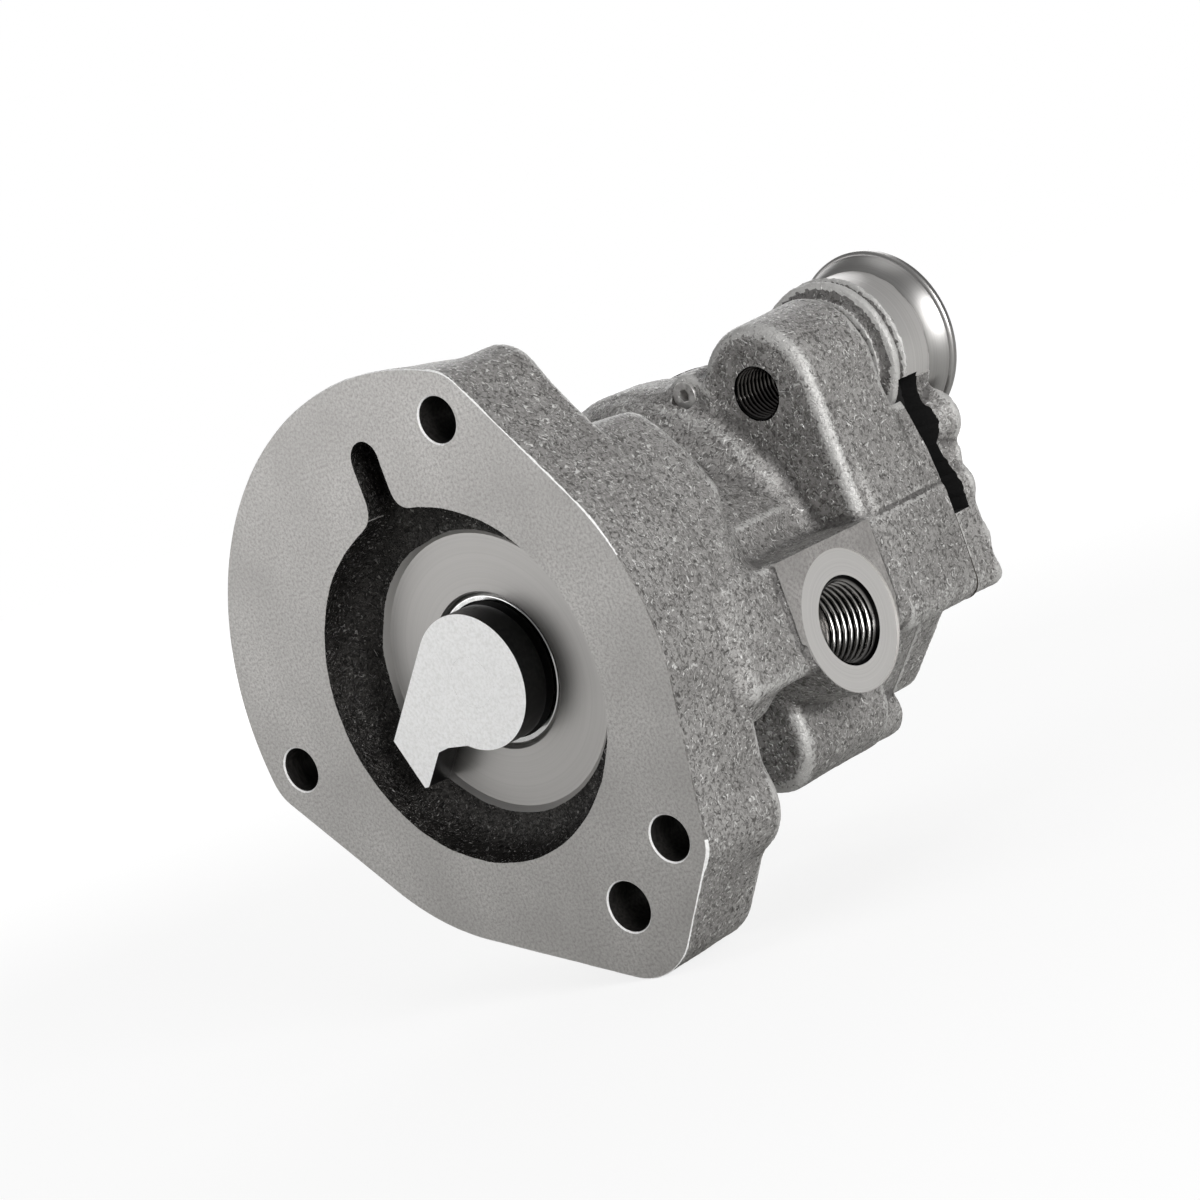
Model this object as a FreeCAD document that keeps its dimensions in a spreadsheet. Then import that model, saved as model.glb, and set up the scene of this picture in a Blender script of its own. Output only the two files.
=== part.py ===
import FreeCAD, Part
import math
import os
import types

import Sketcher

os.makedirs("parts", exist_ok=True)
doc = FreeCAD.newDocument("CentrifugalPump")

# Driving sizes, in millimetres and degrees. The shaft runs along Y from the mounting face at Y 0.
driving_sizes = {
    # mounting flange
    "flange_thickness": 26.0,
    "flange_draft": 1.0,
    "flange_rear_rounding": 2.4,
    "rim_lug_radius": 11.5,
    "waist_depth": 11.7,
    "bolt_circle_radius": 63.5,
    "bolt_angle_top": 69.6,
    "bolt_angle_left": 189.0,
    "bolt_angle_right": 316.0,
    "bolt_angle_low": 294.7,
    "bolt_hole_radius": 5.5,
    "low_bolt_hole_radius": 6.1,
    "right_lug_radius": 10.5,
    "right_boss_radius": 10.2,
    "right_boss_growth": 5.4,
    "low_lug_radius": 17.5,
    # recess in the mounting face
    "recess_radius": 42.6,
    "recess_depth": 11.0,
    "recess_corner": 7.8,
    "seal_land_radius": 34.5,
    "seal_land_bevel": 1.4,
    "drain_slot_across": -4.2,
    "drain_slot_half_width": 4.3,
    "drain_slot_centre_height": 56.0,
    "drain_slot_depth": 9.0,
    "drain_slot_overlap": 4.0,
    # castings behind the flange
    "cast_step": 0.6,
    "cast_corner": 4.0,
    "root_depth": 6.0,
    "neck_end": 44.0,
    "neck_corner": 6.0,
    "neck_rounding": 5.0,
    "neck_top": 46.6,
    "neck_bottom": -28.7,
    "neck_left": -16.0,
    "barrel_radius": 36.0,
    "shoulder_start": 67.5,
    "shoulder_knee": 76.5,
    "shoulder_knee_radius": 46.8,
    "drum_radius": 49.2,
    "drum_front": 82.5,
    "drum_waist_front": 93.0,
    "drum_waist_start": 103.0,
    "drum_waist_radius": 45.5,
    "rim_front": 107.0,
    "rim_radius": 47.6,
    "drum_back": 112.0,
    "block_side": 63.4,
    "block_top": 3.5,
    "block_bottom": -23.5,
    "block_corner": 5.0,
    "block_edge": 2.0,
    "rear_block_front": 84.0,
    "rear_block_bottom": -25.6,
    # straight flank under the rear block, and the ear beside it
    "flank_circle_radius": 46.5,
    "flank_start_angle": 300.6,
    "flank_end_angle": 328.6,
    "ear_circle_radius": 52.4,
    "ear_angle": 294.2,
    "ear_radius": 6.6,
    "ear_front": 100.0,
    # side port
    "port_along": 62.0,
    "port_height": -16.0,
    "port_face": 64.0,
    "port_boss_radius": 17.2,
    "port_boss_root": 16.0,
    "port_spotface_radius": 16.9,
    "port_spotface_depth": 0.5,
    "port_thread_radius": 10.48,
    "port_thread_depth": 14.5,
    "facet_front": 43.0,
    "facet_back": 80.0,
    "gallery_radius": 6.0,
    "gallery_across": 45.0,
    "gallery_back": 102.0,
    "gallery_inner": 28.0,
    # lug with the gauge port, and the suction boss on the same axis
    "lug_across": 44.7,
    "lug_height": 38.8,
    "lug_radius": 16.8,
    "lug_rounding": 3.0,
    "lug_front": 80.0,
    "lug_back": 106.0,
    "gauge_thread_radius": 6.8,
    "gauge_thread_depth": 20.0,
    "web_back": 92.0,
    "web_top": 46.0,
    "web_bottom": 16.0,
    "plug_across": 23.7,
    "plug_height": 43.6,
    "plug_pad_radius": 5.0,
    "plug_radius": 3.4,
    "plug_length": 6.0,
    "plug_proud": 0.6,
    "plug_socket_radius": 1.6,
    "plug_socket_depth": 2.6,
    # foot under the side port
    "foot_front": 51.0,
    "foot_back": 86.0,
    "foot_across": 35.5,
    "foot_height": -38.5,
    "foot_radius": 12.5,
    "foot_left": 16.0,
    "foot_rounding": 3.0,
    # rear cover and what fastens it
    "gasket_thickness": 0.6,
    "cover_back": 124.0,
    "cover_slope": 3.2,
    "cover_setback": 0.7,
    "eye_dome_back": 127.0,
    "eye_dome_wall": 6.0,
    "screw_circle_radius": 43.5,
    "screw_boss_radius": 6.5,
    "screw_radius": 3.0,
    "screw_grip": 16.0,
    "screw_hole_spare": 2.0,
    "screw_head_radius": 5.0,
    "screw_head_height": 6.0,
    "screw_socket_radius": 2.9,
    "screw_clearance": 0.4,
    "dowel_radius": 2.5,
    "dowel_length": 12.0,
    "window_low": -5.0,
    "window_high": 30.0,
    "window_depth": 7.5,
    "window_overrun": 6.0,
    "window_width": 5.9,
    "window_taper": 1.6,
    "suction_boss_radius": 20.0,
    "suction_land_radius": 19.4,
    "suction_land_front": 113.6,
    "suction_bore_radius": 12.0,
    "suction_channel_depth": 8.0,
    "eye_radius": 12.0,
    # turned suction flange
    "suction_pipe_radius": 9.5,
    "suction_rim_radius": 23.2,
    "suction_cone_radius": 19.0,
    "suction_cone_length": 4.6,
    "suction_rim_width": 2.0,
    "suction_spigot_length": 7.0,
    # pump chamber
    "chamber_front": 86.0,
    "chamber_radius": 34.0,
    "volute_growth": 1.4,
    "plate_radius": 38.5,
    "plate_thickness": 5.0,
    # impeller
    "impeller_front": 90.0,
    "impeller_radius": 31.0,
    "impeller_disc": 3.0,
    "impeller_hub_radius": 9.5,
    "impeller_hub_flare": 6.0,
    "impeller_disc_slope": 1.0,
    "vane_inner_radius": 12.5,
    "vane_curve_radius": 21.0,
    "vane_curve_offset": 15.6,
    "vane_thickness": 2.4,
    "vane_gap": 0.6,
    "vane_root_sink": 0.5,
    "vane_tip_setback": 0.4,
    # shaft and drive dog
    "dog_front": 3.4,
    "dog_thickness": 7.3,
    "dog_hub_radius": 16.4,
    "dog_reach": 34.3,
    "dog_angle": 225.8,
    "dog_tooth_width": 13.1,
    "dog_tip_bevel": 5.8,
    "dog_tip_corner": 1.0,
    "dog_heel_reach": 6.5,
    "dog_heel_width": 2.9,
    "dog_heel_depth": 2.2,
    "dog_root_along": 7.0,
    "dog_root_inset": 1.6,
    "shaft_end_radius": 6.15,
    "seal_seat_radius": 8.0,
    "bearing_seat_radius": 8.5,
    "seat_shoulder_setback": 1.0,
    "collar_radius": 10.6,
    "collar_length": 3.0,
    "collar_gap": 1.0,
    "impeller_seat_radius": 6.0,
    "nut_thread_radius": 5.0,
    "nut_thread_length": 8.0,
    "nut_thread_proud": 1.0,
    "washer_thickness": 1.5,
    "key_width": 3.0,
    "key_depth": 1.6,
    "keyway_overrun": 1.0,
    "dog_key_start": 2.0,
    "dog_key_end_gap": 0.2,
    "impeller_key_start": 1.0,
    "impeller_key_length": 11.0,
    # bearings
    "front_bearing_start": 24.0,
    "bearing_width": 10.0,
    "bearing_outer_radius": 17.5,
    "ball_share": 0.2644,
    "ball_clearance": 0.08,
    "race_gap_share": 0.19,
    "cage_half_width": 3.3,
    "cage_share": 0.1,
    "spacer_length": 22.0,
    "spacer_wall": 2.0,
    "circlip_thickness": 1.3,
    "circlip_depth": 1.0,
    "circlip_play": 0.1,
    "circlip_width": 2.0,
    "circlip_opening": 6.0,
    "running_clearance": 0.05,
    # lip seal
    "seal_bore_radius": 18.8,
    "seal_bore_end": 21.5,
    "seal_case_front": 12.9,
    "seal_case_back": 20.5,
    "seal_case_rounding": 0.9,
    "seal_case_wall": 1.4,
    "seal_case_flange": 2.2,
    "lip_shell_setback": 1.0,
    "lip_shell_wall": 1.2,
    "lip_web": 2.0,
    "lip_height": 3.2,
    "lip_slope": 1.2,
    "lip_edge_setback": 0.8,
    "lip_spring_setback": 2.4,
    "garter_radius": 0.7,
    # face seal
    "seal_pocket_radius": 13.5,
    "seal_pocket_front": 73.0,
    "seal_wall_bore_radius": 9.0,
    "seat_thickness": 5.0,
    "seal_ring_thickness": 3.5,
    "seal_ring_radius": 12.0,
    "seal_ring_chamfer": 1.0,
    "seat_bore_gap": 0.5,
    "seat_cord_radius": 1.0,
    "bellows_wall": 1.2,
    "bellows_brim": 1.5,
    "bellows_end_gap": 1.0,
    "spring_wire_radius": 0.6,
    "spring_radius": 11.4,
    "spring_turns": 4.0,
}

screw_angles = (15.0, 66.0, 125.0, 172.0, 220.0, 272.0, 333.0)
dowel_angles = (96.0, 301.0)
ball_count = 9
vane_count = 6
cover_scallops = ((58.6, 18.0, 8.0), (57.9, 0.9, 6.9), (58.6, -12.7, 5.4), (59.6, -21.7, 3.9))

sheet = doc.addObject("Spreadsheet::Sheet", "Sizes")
for row, (alias, number) in enumerate(driving_sizes.items(), start=1):
    sheet.set(f"A{row}", alias)
    sheet.set(f"B{row}", str(number))
    sheet.setAlias(f"B{row}", alias)
doc.recompute()


class Size:
    """A number and the sheet expression that it comes from, so that both are worked out together."""

    def __init__(self, number, text):
        self.number = float(number)
        self.text = text

    def __add__(self, other):
        other = plain(other)
        return Size(self.number + other.number, f"({self.text} + {other.text})")

    def __radd__(self, other):
        return plain(other) + self

    def __sub__(self, other):
        other = plain(other)
        return Size(self.number - other.number, f"({self.text} - {other.text})")

    def __rsub__(self, other):
        return plain(other) - self

    def __mul__(self, other):
        other = plain(other)
        return Size(self.number * other.number, f"({self.text} * {other.text})")

    def __rmul__(self, other):
        return plain(other) * self

    def __truediv__(self, other):
        other = plain(other)
        return Size(self.number / other.number, f"({self.text} / {other.text})")

    def __neg__(self):
        return Size(-self.number, f"(0 - {self.text})")


def plain(value):
    return value if isinstance(value, Size) else Size(value, f"({float(value)})")


def cosine(angle):
    angle = plain(angle)
    return Size(math.cos(math.radians(angle.number)), f"cos({angle.text})")


def sine(angle):
    angle = plain(angle)
    return Size(math.sin(math.radians(angle.number)), f"sin({angle.text})")


def arcsine(ratio):
    return Size(math.degrees(math.asin(ratio.number)), f"asin({ratio.text})")


def polar(radius, angle):
    return plain(radius) * cosine(angle), plain(radius) * sine(angle)


s = types.SimpleNamespace(**{name: Size(number, f"Sizes.{name}") for name, number in driving_sizes.items()})


# Sketch and feature helpers

def new_body(label):
    body = doc.addObject("PartDesign::Body", label)
    body.Label = label
    return body


def origin_part(body, role):
    return next(item for item in body.Origin.OriginFeatures if item.Role == role)


def new_sketch(body, plane, offset=0.0):
    sketch = body.newObject("Sketcher::SketchObject", "Sketch")
    sketch.AttachmentSupport = (origin_part(body, plane), [""])
    sketch.MapMode = "FlatFace"
    sketch.setExpression("AttachmentOffset.Base.z", plain(offset).text)
    return sketch


def bind(sketch, size, kind, *where):
    index = sketch.addConstraint(Sketcher.Constraint(kind, *where, size.number))
    sketch.setExpression(f"Constraints[{index}]", size.text)


def pin_point(sketch, geometry, point, u, v):
    if plain(u).text == plain(v).text == plain(0).text:
        sketch.addConstraint(Sketcher.Constraint("Coincident", geometry, point, -1, 1))
        return
    bind(sketch, plain(u), "DistanceX", -1, 1, geometry, point)
    bind(sketch, plain(v), "DistanceY", -1, 1, geometry, point)


def add_corners(sketch, corners):
    """A closed outline of straight lines through the corners, each a pair of sizes."""
    first = sketch.GeometryCount
    count = len(corners)
    points = [FreeCAD.Vector(plain(u).number, plain(v).number, 0) for u, v in corners]
    for i in range(count):
        sketch.addGeometry(Part.LineSegment(points[i], points[(i + 1) % count]), False)
    for i, (u, v) in enumerate(corners):
        following = first + (i + 1) % count
        sketch.addConstraint(Sketcher.Constraint("Coincident", first + i, 2, following, 1))
        pin_point(sketch, first + i, 1, u, v)


def add_circle(sketch, u, v, radius):
    u, v, radius = plain(u), plain(v), plain(radius)
    centre = FreeCAD.Vector(u.number, v.number, 0)
    circle = sketch.addGeometry(Part.Circle(centre, FreeCAD.Vector(0, 0, 1), radius.number), False)
    pin_point(sketch, circle, 3, u, v)
    bind(sketch, radius, "Radius", circle)


def add_rounds(sketch, rounds):
    """An outline round circles (u, v, radius), taken counter-clockwise and joined by outer tangents.

    A circle with radius None touches the one before or after it from inside, and takes its radius from that.
    """
    count = len(rounds)
    centres = [FreeCAD.Vector(plain(u).number, plain(v).number, 0) for u, v, _ in rounds]
    radii = []
    for i, (_, _, radius) in enumerate(rounds):
        if radius is None:
            host = max((i - 1, (i + 1) % count), key=lambda k: plain(rounds[k][2]).number)
            radii.append(plain(rounds[host][2]).number - (centres[i] - centres[host]).Length)
        else:
            radii.append(plain(radius).number)
    normals = []
    for i in range(count):
        along = centres[(i + 1) % count] - centres[i]
        lean = (radii[i] - radii[(i + 1) % count]) / along.Length
        lean = max(-1.0, min(1.0, lean))
        unit = along / along.Length
        outward = FreeCAD.Vector(unit.y, -unit.x, 0)
        normals.append(unit * lean + outward * math.sqrt(1 - lean * lean))
    arcs = []
    for i in range(count):
        start = math.atan2(normals[i - 1].y, normals[i - 1].x)
        end = math.atan2(normals[i].y, normals[i].x)
        circle = Part.Circle(centres[i], FreeCAD.Vector(0, 0, 1), radii[i])
        arcs.append(sketch.addGeometry(Part.ArcOfCircle(circle, start, end), False))
    for i, (u, v, radius) in enumerate(rounds):
        pin_point(sketch, arcs[i], 3, u, v)
        if radius is not None:
            bind(sketch, plain(radius), "Radius", arcs[i])
    for i in range(count):
        following = (i + 1) % count
        leave = centres[i] + normals[i] * radii[i]
        arrive = centres[following] + normals[i] * radii[following]
        if (arrive - leave).Length < 1e-6:
            sketch.addConstraint(Sketcher.Constraint("Tangent", arcs[i], 2, arcs[following], 1))
            continue
        line = sketch.addGeometry(Part.LineSegment(leave, arrive), False)
        sketch.addConstraint(Sketcher.Constraint("Tangent", arcs[i], 2, line, 1))
        sketch.addConstraint(Sketcher.Constraint("Tangent", line, 2, arcs[following], 1))


def extrude(body, kind, plane, start, end, draw, *shapes):
    """A pad or pocket along +Y (plane XZ) or -X (plane YZ) between two places on that axis."""
    start, end = plain(start), plain(end)
    backward = plane == "XZ_Plane"
    sketch = new_sketch(body, plane, -start if backward else start)
    for shape in shapes:
        draw(sketch, *shape)
    feature = body.newObject(f"PartDesign::{kind}", kind)
    feature.Profile = sketch
    feature.Reversed = kind == "Pad"
    length = end - start if backward else start - end
    feature.setExpression("Length", length.text)
    return feature


def pad(body, start, end, draw, *shapes):
    return extrude(body, "Pad", "XZ_Plane", start, end, draw, *shapes)


def pocket(body, start, end, draw, *shapes):
    return extrude(body, "Pocket", "XZ_Plane", start, end, draw, *shapes)


def spin(body, kind, draw, shape):
    """A revolution or groove about the body's own Y axis. The sketch has radius across, Y up."""
    sketch = new_sketch(body, "XY_Plane")
    draw(sketch, *shape)
    feature = body.newObject(f"PartDesign::{kind}", kind)
    feature.Profile = sketch
    feature.ReferenceAxis = (origin_part(body, "Y_Axis"), [""])
    feature.Angle = 360
    return feature


def turned(label, corners):
    body = new_body(label)
    spin(body, "Revolution", add_corners, (corners,))
    return body


def ring(label, inner, outer, start, end):
    return turned(label, [(inner, start), (outer, start), (outer, end), (inner, end)])


def cord_ring(label, radius, cord_radius, along):
    torus = doc.addObject("Part::Torus", label)
    torus.Label = label
    torus.setExpression("Radius1", plain(radius).text)
    torus.setExpression("Radius2", plain(cord_radius).text)
    torus.Placement.Rotation = FreeCAD.Rotation(FreeCAD.Vector(1, 0, 0), -90)
    torus.setExpression("Placement.Base.y", plain(along).text)
    return torus


def move_to(item, x, y, z):
    for axis, size in zip("xyz", (x, y, z)):
        item.setExpression(f"Placement.Base.{axis}", plain(size).text)


def group(label, items):
    compound = doc.addObject("Part::Compound", label)
    compound.Label = label
    compound.Links = items
    return compound


# Places worked out from the driving sizes

flange_rim = s.bolt_circle_radius + s.rim_lug_radius
flange_waist = flange_rim - s.waist_depth
dog_back = s.dog_front + s.dog_thickness
seal_land = s.recess_depth + s.seal_land_bevel
bearing_section = s.bearing_outer_radius - s.bearing_seat_radius
bearing_pitch = s.bearing_seat_radius + bearing_section / 2
ball_radius = bearing_section * s.ball_share
cage_half_thickness = bearing_section * s.cage_share
front_bearing_end = s.front_bearing_start + s.bearing_width
rear_bearing_start = front_bearing_end + s.spacer_length
rear_bearing_end = rear_bearing_start + s.bearing_width
collar_end = rear_bearing_end + s.collar_length
plate_front = s.drum_back - s.plate_thickness
vane_end = plate_front - s.vane_gap
cover_front = s.drum_back + s.gasket_thickness
channel_end = cover_front + s.suction_channel_depth
nut_start = vane_end + s.washer_thickness
shaft_end = nut_start + s.nut_thread_length
suction_axis = (s.lug_across, s.lug_height)
seal_wall_front = collar_end + s.collar_gap
seat_end = s.seal_pocket_front + s.seat_thickness
ring_end = seat_end + s.seal_ring_thickness
origin = (plain(0), plain(0))


# Cast housing

def round_corner(radius, depth, rounding):
    """Points of a rounded inner corner of a turned recess, from its wall to its floor."""
    turns = [90.0 * step / 5 for step in range(6)]
    return [(radius - rounding * (1 - cosine(turn)), depth - rounding * (1 - sine(turn))) for turn in turns]


def flange_rounds():
    return [
        (*origin, flange_rim),
        (*polar(s.bolt_circle_radius, s.bolt_angle_left), None),
        (*origin, flange_waist),
        (*polar(s.bolt_circle_radius, s.bolt_angle_low), s.low_lug_radius),
        (*polar(s.bolt_circle_radius, s.bolt_angle_right), s.right_lug_radius),
        (*origin, flange_waist),
        (*polar(s.bolt_circle_radius, s.bolt_angle_top), None),
    ]


def screw_places(radius):
    return [(*polar(s.screw_circle_radius, angle), radius) for angle in screw_angles]


def dowel_places(radius):
    return [(*polar(s.screw_circle_radius, angle), radius) for angle in dowel_angles]


def rear_block_rounds(side):
    corner = s.block_corner
    edge = s.block_edge
    return [
        (plain(0.0), s.rear_block_bottom + corner, corner),
        (side - corner, s.rear_block_bottom + corner, corner),
        (side - edge, s.block_top - edge, edge),
        (s.lug_across + s.lug_radius - corner, s.lug_height - s.lug_radius + corner, corner),
        (*polar(s.screw_circle_radius, screw_angles[1]), s.screw_boss_radius),
    ]


def add_rear_block(body, start, end, side):
    """The block and the screw bosses that the housing's rear, the gasket and the cover share."""
    pad(body, start, end, add_rounds, (rear_block_rounds(side),))
    for place in screw_places(s.screw_boss_radius):
        pad(body, start, end, add_circle, place)


def round_edges(body, radius, chosen):
    """Rounds those edges of the body so far that the test picks out."""
    doc.recompute()
    last = body.Tip
    names = [f"Edge{number}" for number, edge in enumerate(last.Shape.Edges, start=1) if chosen(edge)]
    fillet = body.newObject("PartDesign::Fillet", "Rounding")
    fillet.Base = (last, names)
    fillet.setExpression("Radius", radius.text)


def lies_at(edge, along):
    box = edge.BoundBox
    return max(abs(box.YMin - along.number), abs(box.YMax - along.number)) < 1e-3


def join(body, others):
    joined = body.newObject("PartDesign::Boolean", "Join")
    joined.Type = "Fuse"
    joined.setObjects(others)


def right_boss():
    """The boss round the right bolt hole, which grows towards the flange's rear."""
    body = new_body("flange_boss")
    boss = pad(body, 0, s.flange_thickness, add_circle,
               (*polar(s.bolt_circle_radius, s.bolt_angle_right), s.right_boss_radius))
    boss.setExpression("TaperAngle", s.right_boss_growth.text)
    round_edges(body, s.flange_rear_rounding, lambda edge: lies_at(edge, s.flange_thickness))
    return body


def rounded_block(label, start, end, rounding, rounds):
    """A cast block with rounded front edges, in a body of its own until it joins the housing."""
    body = new_body(label)
    pad(body, start, end, add_rounds, (rounds,))
    round_edges(body, rounding, lambda edge: lies_at(edge, start))
    return body


def housing():
    body = new_body("pump_housing")
    root = s.flange_thickness - s.root_depth
    corner = s.cast_corner
    flange = pad(body, 0, s.flange_thickness, add_rounds, (flange_rounds(),))
    flange.setExpression("TaperAngle", (-s.flange_draft).text)
    round_edges(body, s.flange_rear_rounding, lambda edge: lies_at(edge, s.flange_thickness))
    join(body, [right_boss()])
    wall = flange_waist - s.cast_step
    low_side = arcsine((s.neck_bottom + s.neck_corner) / (wall - s.neck_corner))
    high_side = arcsine((s.neck_top - s.neck_corner) / (wall - s.neck_corner))
    pad(body, root, s.neck_end, add_rounds, ([
        (s.neck_left + s.neck_corner, s.neck_bottom + s.neck_corner, s.neck_corner),
        (*polar(wall - s.neck_corner, low_side), None),
        (*origin, wall),
        (*polar(wall - s.neck_corner, high_side), None),
        (s.neck_left + s.neck_corner, s.neck_top - s.neck_corner, s.neck_corner),
    ],))
    round_edges(body, s.neck_rounding, lambda edge: lies_at(edge, s.neck_end))
    barrel_and_drum = [
        (0, root), (s.barrel_radius, root), (s.barrel_radius, s.shoulder_start),
        (s.shoulder_knee_radius, s.shoulder_knee), (s.drum_radius, s.drum_front),
        (s.drum_radius, s.drum_waist_front), (s.drum_waist_radius, s.drum_waist_start),
        (s.drum_waist_radius, s.rim_front), (s.rim_radius, s.rim_front + s.rim_radius - s.drum_waist_radius),
        (s.rim_radius, s.drum_back), (0, s.drum_back),
    ]
    add_rear_block(body, s.rear_block_front, s.drum_back, s.block_side)
    pad(body, s.rear_block_front, s.drum_back, add_rounds, ([
        (*origin, s.eye_radius),
        (*polar(s.flank_circle_radius, s.flank_start_angle), s.block_corner),
        (*polar(s.flank_circle_radius, s.flank_end_angle), s.block_corner),
    ],))
    pad(body, s.ear_front, s.drum_back, add_rounds, ([
        (*origin, s.eye_radius),
        (*polar(s.ear_circle_radius, s.ear_angle), s.ear_radius),
    ],))
    pad(body, root, s.drum_back, add_rounds, ([
        (plain(0.0), s.block_bottom + corner, corner),
        (s.block_side - corner, s.block_bottom + corner, corner),
        (s.block_side - s.block_edge, s.block_top - s.block_edge, s.block_edge),
        (plain(0.0), s.block_top - corner, corner),
    ],))
    extrude(body, "Pad", "YZ_Plane", s.port_face, s.port_boss_root, add_circle,
            (s.port_along, s.port_height, s.port_boss_radius))
    extrude(body, "Pad", "YZ_Plane", s.port_face, s.barrel_radius, add_corners, ([
        (s.facet_front, s.port_height), (s.facet_back, s.port_height),
        (s.facet_back, s.block_top), (s.facet_front, s.block_top)],))
    lug = rounded_block("housing_lug", s.lug_front, s.lug_back, s.lug_rounding, [
        (s.block_side - corner, s.block_top - corner, corner),
        (*suction_axis, s.lug_radius),
        (s.lug_across - s.lug_radius + corner, s.block_top - corner, corner),
    ])
    foot = rounded_block("housing_foot", s.foot_front, s.foot_back, s.foot_rounding, [
        (s.foot_across, s.foot_height, s.foot_radius),
        (s.foot_across + s.foot_radius - corner, s.block_bottom + corner, corner),
        (s.foot_left + corner, s.block_bottom + corner, corner),
        (s.foot_left + corner, s.foot_height, corner),
    ])
    join(body, [lug, foot])
    pad(body, s.lug_front, s.web_back, add_rounds, ([
        (s.lug_across - s.lug_radius, s.web_bottom + corner, corner),
        (s.lug_across - s.lug_radius, s.web_top - corner, corner),
        (s.plug_across, s.plug_height, s.plug_pad_radius),
        (s.plug_across - s.plug_pad_radius, s.plug_height - corner / 2, corner),
        (s.plug_across - s.plug_pad_radius, s.web_bottom + corner, corner),
    ],))
    pocket(body, s.lug_back, s.drum_back, add_circle, (*suction_axis, s.suction_boss_radius + s.cast_step))
    spin(body, "Revolution", add_corners, (barrel_and_drum,))
    # recess, drain slot and the turned bores on the shaft axis
    chamber_wall = s.chamber_radius - s.volute_growth - s.cast_step
    spin(body, "Groove", add_corners, ([
        (0, -1), (s.recess_radius, -1), *round_corner(s.recess_radius, s.recess_depth, s.recess_corner),
        (s.seal_land_radius, s.recess_depth),
        (s.seal_land_radius - s.seal_land_bevel, seal_land), (s.seal_bore_radius, seal_land),
        (s.seal_bore_radius, s.seal_bore_end), (s.bearing_outer_radius, s.seal_bore_end),
        (s.bearing_outer_radius, s.front_bearing_start - s.circlip_thickness),
        (s.bearing_outer_radius + s.circlip_depth, s.front_bearing_start - s.circlip_thickness),
        (s.bearing_outer_radius + s.circlip_depth, s.front_bearing_start),
        (s.bearing_outer_radius, s.front_bearing_start), (s.bearing_outer_radius, rear_bearing_end),
        (s.seal_pocket_radius, rear_bearing_end), (s.seal_pocket_radius, seal_wall_front),
        (s.seal_wall_bore_radius, seal_wall_front), (s.seal_wall_bore_radius, s.seal_pocket_front),
        (s.seal_pocket_radius, s.seal_pocket_front), (s.seal_pocket_radius, s.chamber_front),
        (chamber_wall, s.chamber_front), (chamber_wall, plate_front),
        (s.plate_radius, plate_front), (s.plate_radius, s.drum_back + 1), (0, s.drum_back + 1),
    ],))
    pocket(body, 0, s.drain_slot_depth, add_rounds, ([
        (s.drain_slot_across, s.recess_radius - s.drain_slot_overlap, s.drain_slot_half_width),
        (s.drain_slot_across, s.drain_slot_centre_height, s.drain_slot_half_width),
    ],))
    # volute: the chamber grows towards the discharge
    growth = s.volute_growth
    pocket(body, s.chamber_front, plate_front, add_rounds, ([
        (growth, -growth, s.chamber_radius + growth * 1.5),
        (growth, growth, s.chamber_radius),
        (-growth, growth, s.chamber_radius - growth),
        (-growth, -growth, s.chamber_radius),
    ],))
    # discharge: chamber to gallery, gallery to the side port
    middle = (s.chamber_front + plate_front) / 2
    extrude(body, "Pocket", "YZ_Plane", s.gallery_across, s.gallery_inner, add_circle,
            (middle, s.port_height, s.gallery_radius))
    pocket(body, s.port_along, s.gallery_back, add_circle, (s.gallery_across, s.port_height, s.gallery_radius))
    extrude(body, "Pocket", "YZ_Plane", s.port_face, s.port_face - s.port_spotface_depth, add_circle,
            (s.port_along, s.port_height, s.port_spotface_radius))
    extrude(body, "Pocket", "YZ_Plane", s.port_face, s.port_face - s.port_thread_depth, add_circle,
            (s.port_along, s.port_height, s.port_thread_radius))
    # gauge port and plug hole
    pocket(body, s.lug_front, s.lug_front + s.gauge_thread_depth, add_circle,
           (*suction_axis, s.gauge_thread_radius))
    pocket(body, s.lug_front, s.lug_front + s.plug_length, add_circle,
           (s.plug_across, s.plug_height, s.plug_radius))
    # bolt holes, cover screw holes and dowel holes
    for angle in (s.bolt_angle_top, s.bolt_angle_left, s.bolt_angle_right):
        pocket(body, 0, s.flange_thickness, add_circle,
               (*polar(s.bolt_circle_radius, angle), s.bolt_hole_radius))
    pocket(body, 0, s.flange_thickness, add_circle,
           (*polar(s.bolt_circle_radius, s.bolt_angle_low), s.low_bolt_hole_radius))
    pocket(body, s.drum_back - s.screw_grip, s.drum_back, add_circle, *screw_places(s.screw_radius))
    pocket(body, s.drum_back - s.dowel_length / 2, s.drum_back, add_circle, *dowel_places(s.dowel_radius))
    return body


# Rear cover, gasket, screws and dowels

def cut_window(body):
    """The open window between housing and cover on the side of the rear block."""
    start = s.drum_back
    outer, inner = s.block_side + s.window_overrun, s.block_side - s.window_depth
    extrude(body, "Pocket", "YZ_Plane", outer, inner, add_corners, ([
        (start, s.window_low), (cover_front + s.window_width - s.window_taper, s.window_low),
        (cover_front + s.window_width, s.window_high), (start, s.window_high)],))


def gasket():
    body = new_body("cover_gasket")
    pad(body, s.drum_back, cover_front, add_circle, (*origin, s.rim_radius))
    add_rear_block(body, s.drum_back, cover_front, s.block_side)
    pocket(body, s.drum_back, cover_front, add_circle, (*origin, s.plate_radius))
    pocket(body, s.drum_back, cover_front, add_circle, (*suction_axis, s.suction_boss_radius + s.cast_step))
    pocket(body, s.drum_back, cover_front, add_circle, *screw_places(s.screw_radius + s.screw_clearance))
    pocket(body, s.drum_back, cover_front, add_circle, *dowel_places(s.dowel_radius))
    cut_window(body)
    return body


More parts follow.
